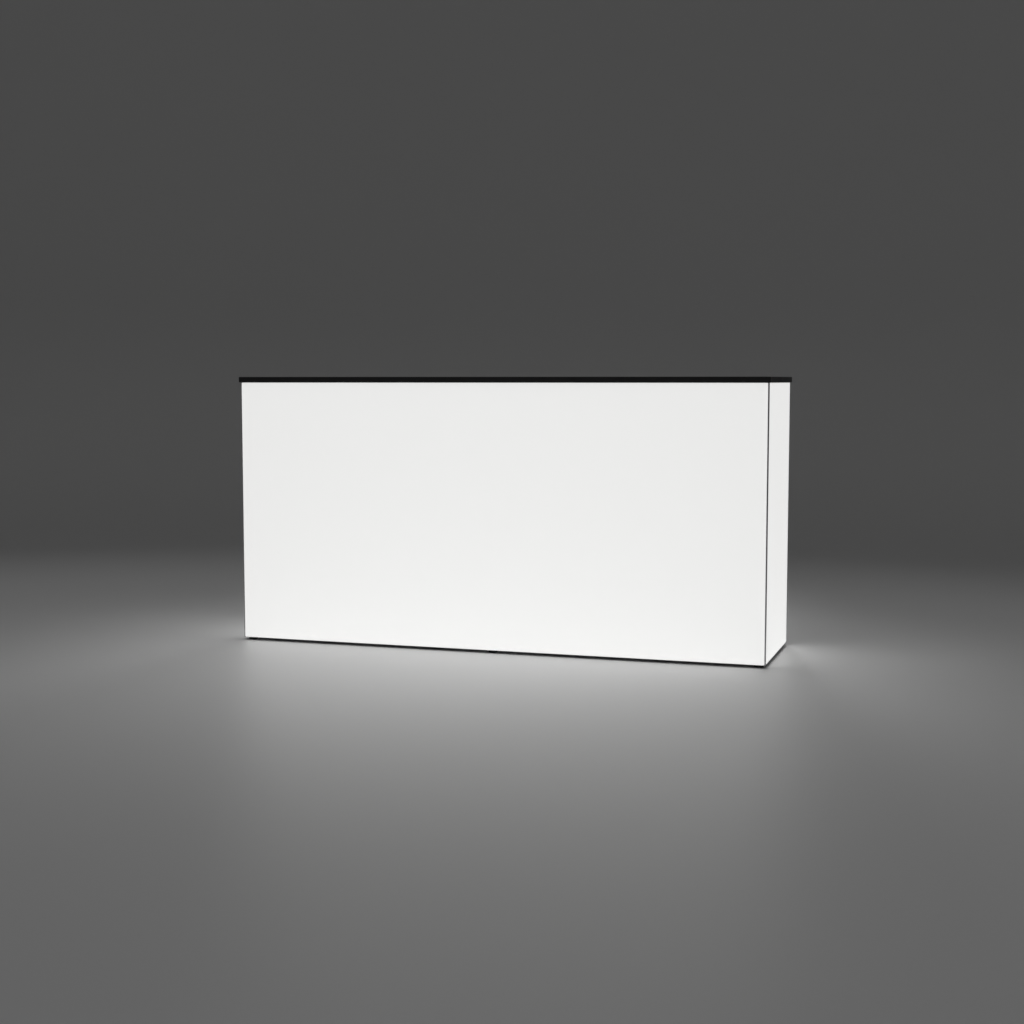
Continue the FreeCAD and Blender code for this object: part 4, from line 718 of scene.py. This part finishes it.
def stretched_sheet(name, corner, across, inward, width, height, settings, material):
    """A tight sheet with its four edges turned back into the grooves."""
    bend = settings.bend
    arc = [math.radians(angle) for angle in BEND_ANGLES]
    turn = [(bend - bend * math.sin(angle), bend - bend * math.cos(angle)) for angle in arc]
    turn.append((0.0, settings.flap))
    flat_width = width - 2 * bend
    flat_height = height - 2 * bend
    columns = [bend + flat_width * step / SKIN_COLUMNS for step in range(SKIN_COLUMNS + 1)]
    levels = [bend + flat_height * step / SKIN_ROWS for step in range(SKIN_ROWS + 1)]
    shape = bmesh.new()

    def vertex(u, v, depth=0.0):
        """A corner of the mesh, u across, v up and so far inward."""
        return shape.verts.new(corner + across * u + UP * v + inward * depth)

    def skin(rows):
        """Faces between neighbouring rows of corners."""
        for near, far in zip(rows, rows[1:]):
            for step in range(len(near) - 1):
                shape.faces.new((near[step], far[step], far[step + 1], near[step + 1]))

    face = [[vertex(u, v) for v in levels] for u in columns]
    skin(face)
    skin([face[0]] + [[vertex(u, v, depth) for v in levels] for u, depth in turn])
    skin([face[-1]] + [[vertex(width - u, v, depth) for v in levels] for u, depth in turn])
    lowest = [column[0] for column in face]
    skin([lowest] + [[vertex(u, v, depth) for u in columns] for v, depth in turn])
    highest = [column[-1] for column in face]
    skin([highest] + [[vertex(u, height - v, depth) for u in columns] for v, depth in turn])
    bmesh.ops.recalc_face_normals(shape, faces=shape.faces)
    shape.normal_update()
    shape.faces.ensure_lookup_table()
    if shape.faces[0].normal.dot(inward) > 0:
        bmesh.ops.reverse_faces(shape, faces=shape.faces)
    mesh = bpy.data.meshes.new(name)
    shape.to_mesh(mesh)
    shape.free()
    mesh.shade_smooth()
    cloth = bpy.data.objects.new(name + "_cut", mesh)
    bpy.context.scene.collection.objects.link(cloth)
    wall = cloth.modifiers.new("Wall", "SOLIDIFY")
    wall.thickness = settings.thickness
    wall.offset = -1.0
    return add_piece(name, evaluated_mesh(cloth, name), "counter", material)


# Operators


class COUNTER_OT_frame(bpy.types.Operator):
    """Give the aluminium frame and its connectors their finish"""

    bl_idname = "counter.frame"
    bl_label = "Frame"

    def execute(self, context):
        colour = tuple(context.scene.counter_body.aluminium)
        dress(anodised("aluminium_upright", colour, "z"), *UPRIGHTS, "angle_strips")
        dress(anodised("aluminium_lengthwise", colour, "x"), *LONG_RAILS, "led_carriers")
        dress(anodised("aluminium_endwise", colour, "y"), *END_RAILS)
        dress(plated("cast_connector", CAST_METAL, 0.42, 0.0015), "rail_connectors")
        dress(plated("zinc", ZINC, 0.28, 0.006), "connector_bolts", "foot_inserts")
        return {"FINISHED"}


class COUNTER_OT_skins(bpy.types.Operator):
    """Stretch the three textile skins over the light space"""

    bl_idname = "counter.skins"
    bl_label = "Skins"

    def execute(self, context):
        settings = context.scene.counter_skin
        faces = {
            "front_fabric": (Vector((1, 0, 0)), Vector((0, 1, 0)), 0),
            "left_fabric": (Vector((0, 1, 0)), Vector((1, 0, 0)), 1),
            "right_fabric": (Vector((0, 1, 0)), Vector((-1, 0, 0)), 1),
        }
        for node, (across, inward, axis) in faces.items():
            low, high = (Vector(corner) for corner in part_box(node))
            corner = low.copy()
            if inward.x < 0:
                corner.x = high.x
            width = high[axis] - low[axis]
            height = high.z - low.z
            side = node.split("_")[0]
            strength = settings.strength * (1.0 if side == "front" else settings.end_share)
            cloth = backlit_cloth("cloth_" + side, settings, node, strength)
            piece = stretched_sheet(
                side + "_skin", corner, across, inward, width, height, settings, cloth)
            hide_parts(node)
        dress(silicone("keder_silicone"), "keder_strips")
        return {"FINISHED"}


class COUNTER_OT_worktop(bpy.types.Operator):
    """Give the worktop its black laminate"""

    bl_idname = "counter.worktop"
    bl_label = "Worktop"

    def execute(self, context):
        dress(laminate("black_laminate", tuple(context.scene.counter_body.laminate)), "worktop")
        return {"FINISHED"}


class COUNTER_OT_boards(bpy.types.Operator):
    """Give boards, doors, liners and rear panel their finishes"""

    bl_idname = "counter.boards"
    bl_label = "Boards and doors"

    def execute(self, context):
        settings = context.scene.counter_body
        board = tuple(settings.board)
        inner = melamine("white_board", board)
        dress(inner, "floor_board", "divider_left", "divider_right", "shelf_left", "shelf_right")
        for side in SIDES:
            dress(melamine("white_door_" + side, board, "door_" + side), "door_" + side)
        sheet = coated_sheet("white_sheet", tuple(settings.sheet))
        dress(sheet, "front_liner", "left_liner", "right_liner", "rear_panel")
        return {"FINISHED"}


class COUNTER_OT_hardware(bpy.types.Operator):
    """Finish hinges, knobs, locks, brackets and screws, and add the heads of the small screws"""

    bl_idname = "counter.hardware"
    bl_label = "Hardware"

    def execute(self, context):
        settings = context.scene.counter_hardware
        zinc = plated("zinc_plate", ZINC, 0.28, 0.006)
        nickel = plated("satin_nickel", SATIN_NICKEL, 0.26, 0.0008)
        bright = plated("bright_nickel", BRIGHT_NICKEL, 0.18, 0.0008, wear=0.2)
        screw = plated("screw_nickel", SCREW_NICKEL, 0.16, 0.001)
        knob = moulded("knob_plastic", tuple(context.scene.counter_body.moulding), 0.42)
        dress(zinc, "angle_brackets", "board_screws")
        dress(nickel, "hinge_frame_leaves", "hinge_pins")
        for side in SIDES:
            door = "door_" + side
            dress(nickel, door + "_hinge_leaves")
            dress(bright, door + "_lock_barrel")
            core = door + "_lock_core"
            dress(lock_core("lock_core_" + side, BRIGHT_NICKEL, core), core)
            dress(knob, door + "_knob")
            self.hinge_screws(side, settings, screw)
        self.panel_screw_tops(zinc)
        return {"FINISHED"}

    def hinge_screws(self, side, settings, material):
        """Screws through both leaves of a door's hinges, flatter on the side of the frame."""
        door = "door_" + side
        outward = -1 if side == "left" else 1
        radius = settings.screw_radius
        height = settings.screw_height
        low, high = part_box(door + "_hinge_leaves")
        hinges = (low[2] + HINGE_HALF, high[2] - HINGE_HALF)
        levels = [hinge + step * settings.screw_spread for hinge in hinges for step in (-1, 0, 1)]
        pivot = next(j for j in frame["joints"] if j["name"] == door + "_hinge")["pos_m"]
        across = pivot[0] - outward * DOOR_SCREW_REACH
        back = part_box(door)[1][1] + LEAF
        points = [(across, back, level) for level in levels]
        rule = screw_rule(material, radius, height, FACING_BACK)
        mesh = rule.grow(door + "_hinge_screws", points)
        piece = add_piece(door + "_hinge_screws", mesh, door)
        post = pivot[0] + outward * LEAF
        depth = pivot[1] - FRAME_SCREW_REACH
        points = [(post, depth, level) for level in levels]
        rule = screw_rule(material, radius, height / 2, (0.0, -outward * math.pi / 2, 0.0))
        mesh = rule.grow("frame_hinge_screws_" + side, points)
        piece = add_piece("frame_hinge_screws_" + side, mesh, "counter")

    def panel_screw_tops(self, zinc):
        """Raised tops with a cross recess on the screws of the rear panel."""
        screws = NODES["board_screws"]
        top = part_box("board_screws")[1][1]
        corners = [screws.matrix_world @ vertex.co for vertex in screws.data.vertices]
        rims = [corner for corner in corners if corner.y > top - RIM_BAND]
        points = middles(rims, SCREW_APART)
        radius = (rims[0] - points[0]).length
        rule = screw_rule(zinc, radius, PANEL_SCREW_TOP, FACING_BACK)
        piece = add_piece("panel_screw_tops", rule.grow("panel_screw_tops", points), "counter")


class COUNTER_OT_feet(bpy.types.Operator):
    """Finish the levelling feet and add their grip ribs"""

    bl_idname = "counter.feet"
    bl_label = "Levelling feet"

    def execute(self, context):
        settings = context.scene.counter_hardware
        plastic = moulded("foot_plastic", tuple(context.scene.counter_body.moulding), 0.5)
        for place in FEET:
            node = "levelling_foot_" + place
            dress(plastic, node)
            low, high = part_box(node)
            middle = ((low[0] + high[0]) / 2, (low[1] + high[1]) / 2, RIB_MIDDLE)
            radius = (high[0] - low[0]) / 2
            name = "foot_ribs_" + place
            mesh = rib_rule(plastic, settings, radius, RIB_HEIGHT).grow(name, [middle])
            piece = add_piece(name, mesh, "foot_" + place)
        return {"FINISHED"}


class COUNTER_OT_lighting(bpy.types.Operator):
    """Finish LED boards, lenses, power supplies and wiring"""

    bl_idname = "counter.lighting"
    bl_label = "Lighting"

    def execute(self, context):
        dress(circuit("circuit_board"), "led_boards")
        dress(lens_plastic("clear_lens"), "led_lenses")
        dress(anodised("supply_case", CASE_METAL, "y"), "power_supplies")
        dress(sheath("cable_sheath"), "internal_wiring")
        return {"FINISHED"}


class COUNTER_OT_mains(bpy.types.Operator):
    """Finish the mains inlet, its contacts and the switch"""

    bl_idname = "counter.mains"
    bl_label = "Mains inlet"

    def execute(self, context):
        colour = tuple(context.scene.counter_body.moulding)
        dress(moulded("inlet_plastic", colour, 0.44), "mains_inlet")
        dress(moulded("switch_plastic", shade(colour, 0.8), 0.14, 0.004), "mains_switch")
        dress(plated("contact_brass", BRASS, 0.2, 0.001), "inlet_contacts")
        return {"FINISHED"}


class COUNTER_OT_stage(bpy.types.Operator):
    """Set up floor, wall, light and camera"""

    bl_idname = "counter.stage"
    bl_label = "Stage"

    def execute(self, context):
        settings = context.scene.counter_stage
        self.cove(settings)
        self.light(context, settings)
        camera = bpy.data.objects.new("camera", bpy.data.cameras.new("camera"))
        camera.data.lens = settings.lens
        camera.data.sensor_width = SENSOR
        camera.location = settings.camera_place
        camera.rotation_euler = Euler(settings.camera_turn)
        context.scene.collection.objects.link(camera)
        context.scene.camera = camera
        context.scene.view_settings.view_transform = "Standard"
        return {"FINISHED"}

    def cove(self, settings):
        """A round floor that curves up into a wall, wider towards the camera."""
        middle = Vector((0.0, COVE_MIDDLE, 0.0))
        profile = [(COVE_FLAT * step / FLAT_STEPS, 0.0) for step in range(FLAT_STEPS + 1)]
        for step in range(1, CURVE_STEPS + 1):
            angle = math.pi / 2 * step / CURVE_STEPS
            out = COVE_FLAT + COVE_CURVE * math.sin(angle)
            profile.append((out, COVE_CURVE - COVE_CURVE * math.cos(angle)))
        profile.append((COVE_FLAT + COVE_CURVE, COVE_TOP))
        shape = bmesh.new()
        hub = shape.verts.new(middle)
        rings = []
        for radius, height in profile[1:]:
            ring = []
            for step in range(COVE_TURNS):
                angle = 2 * math.pi * step / COVE_TURNS
                spot = Vector((radius * math.cos(angle), radius * math.sin(angle), height))
                ring.append(shape.verts.new(middle + spot))
            rings.append(ring)
        for step in range(COVE_TURNS):
            after = (step + 1) % COVE_TURNS
            shape.faces.new((hub, rings[0][step], rings[0][after]))
            for near, far in zip(rings, rings[1:]):
                shape.faces.new((near[step], far[step], far[after], near[after]))
        mesh = bpy.data.meshes.new("cove")
        shape.to_mesh(mesh)
        shape.free()
        mesh.shade_smooth()
        mesh.materials.append(floor_and_wall("floor_and_wall", settings))
        cove = bpy.data.objects.new("cove", mesh)
        bpy.context.scene.collection.objects.link(cove)

    def light(self, context, settings):
        """Even light from all sides, two wide lamps at the front, one above and one at the back."""
        world = bpy.data.worlds.new("studio")
        world.use_nodes = True
        sky = world.node_tree.nodes["Background"]
        sky.inputs["Color"].default_value = (1.0, 1.0, 1.0, 1.0)
        sky.inputs["Strength"].default_value = settings.sky
        context.scene.world = world
        middle = Vector((0.0, 0.0, 0.55))
        # place, target, size, spread in degrees and power
        lamps = {
            "front_right": (Vector((3.4, -2.2, 3.3)), middle, 2.6, 180, settings.front_lamp),
            "front_left": (Vector((-3.4, -2.2, 3.3)), middle, 2.6, 180, settings.front_lamp),
            "top": (Vector((0.0, -0.6, 3.0)), Vector((0.0, -0.6, 0.0)), 1.2, 75, settings.top_lamp),
            "back": (Vector((-0.45, 3.3, 0.95)), middle, 1.3, 52, settings.back_lamp),
        }
        for name, (place, target, size, spread, power) in lamps.items():
            lamp = bpy.data.lights.new("lamp_" + name, "AREA")
            lamp.shape = "DISK"
            lamp.size = size
            lamp.spread = math.radians(spread)
            lamp.energy = power
            holder = bpy.data.objects.new("lamp_" + name, lamp)
            holder.location = place
            holder.rotation_euler = (target - place).to_track_quat("-Z", "Y").to_euler()
            holder.visible_camera = False
            context.scene.collection.objects.link(holder)


OPERATORS = (
    COUNTER_OT_frame, COUNTER_OT_skins, COUNTER_OT_worktop, COUNTER_OT_boards, COUNTER_OT_hardware,
    COUNTER_OT_feet, COUNTER_OT_lighting, COUNTER_OT_mains, COUNTER_OT_stage,
)
GROUPS = {
    "counter_skin": SkinSettings,
    "counter_body": BodySettings,
    "counter_hardware": HardwareSettings,
    "counter_stage": StageSettings,
}


class COUNTER_PT_sidebar(bpy.types.Panel):
    """Settings and steps of the counter"""

    bl_idname = "COUNTER_PT_sidebar"
    bl_label = "Illuminated counter"
    bl_space_type = "VIEW_3D"
    bl_region_type = "UI"
    bl_category = "Counter"

    def draw(self, context):
        for group, settings in GROUPS.items():
            box = self.layout.box()
            for setting in settings.__annotations__:
                box.prop(getattr(context.scene, group), setting)
        for operator in OPERATORS:
            self.layout.operator(operator.bl_idname)


CLASSES = (*GROUPS.values(), *OPERATORS, COUNTER_PT_sidebar)


def register():
    """Adds the classes and gives each scene its settings."""
    for kind in CLASSES:
        bpy.utils.register_class(kind)
    for group, settings in GROUPS.items():
        setattr(bpy.types.Scene, group, bpy.props.PointerProperty(type=settings))


def unregister():
    """Takes away what register adds."""
    for group in GROUPS:
        delattr(bpy.types.Scene, group)
    for kind in reversed(CLASSES):
        bpy.utils.unregister_class(kind)


def main():
    """Dresses the counter step by step."""
    register()
    bpy.ops.counter.frame()
    bpy.ops.counter.skins()
    bpy.ops.counter.worktop()
    bpy.ops.counter.boards()
    bpy.ops.counter.hardware()
    bpy.ops.counter.feet()
    bpy.ops.counter.lighting()
    bpy.ops.counter.mains()
    bpy.ops.counter.stage()


if __name__ == "__main__":
    main()
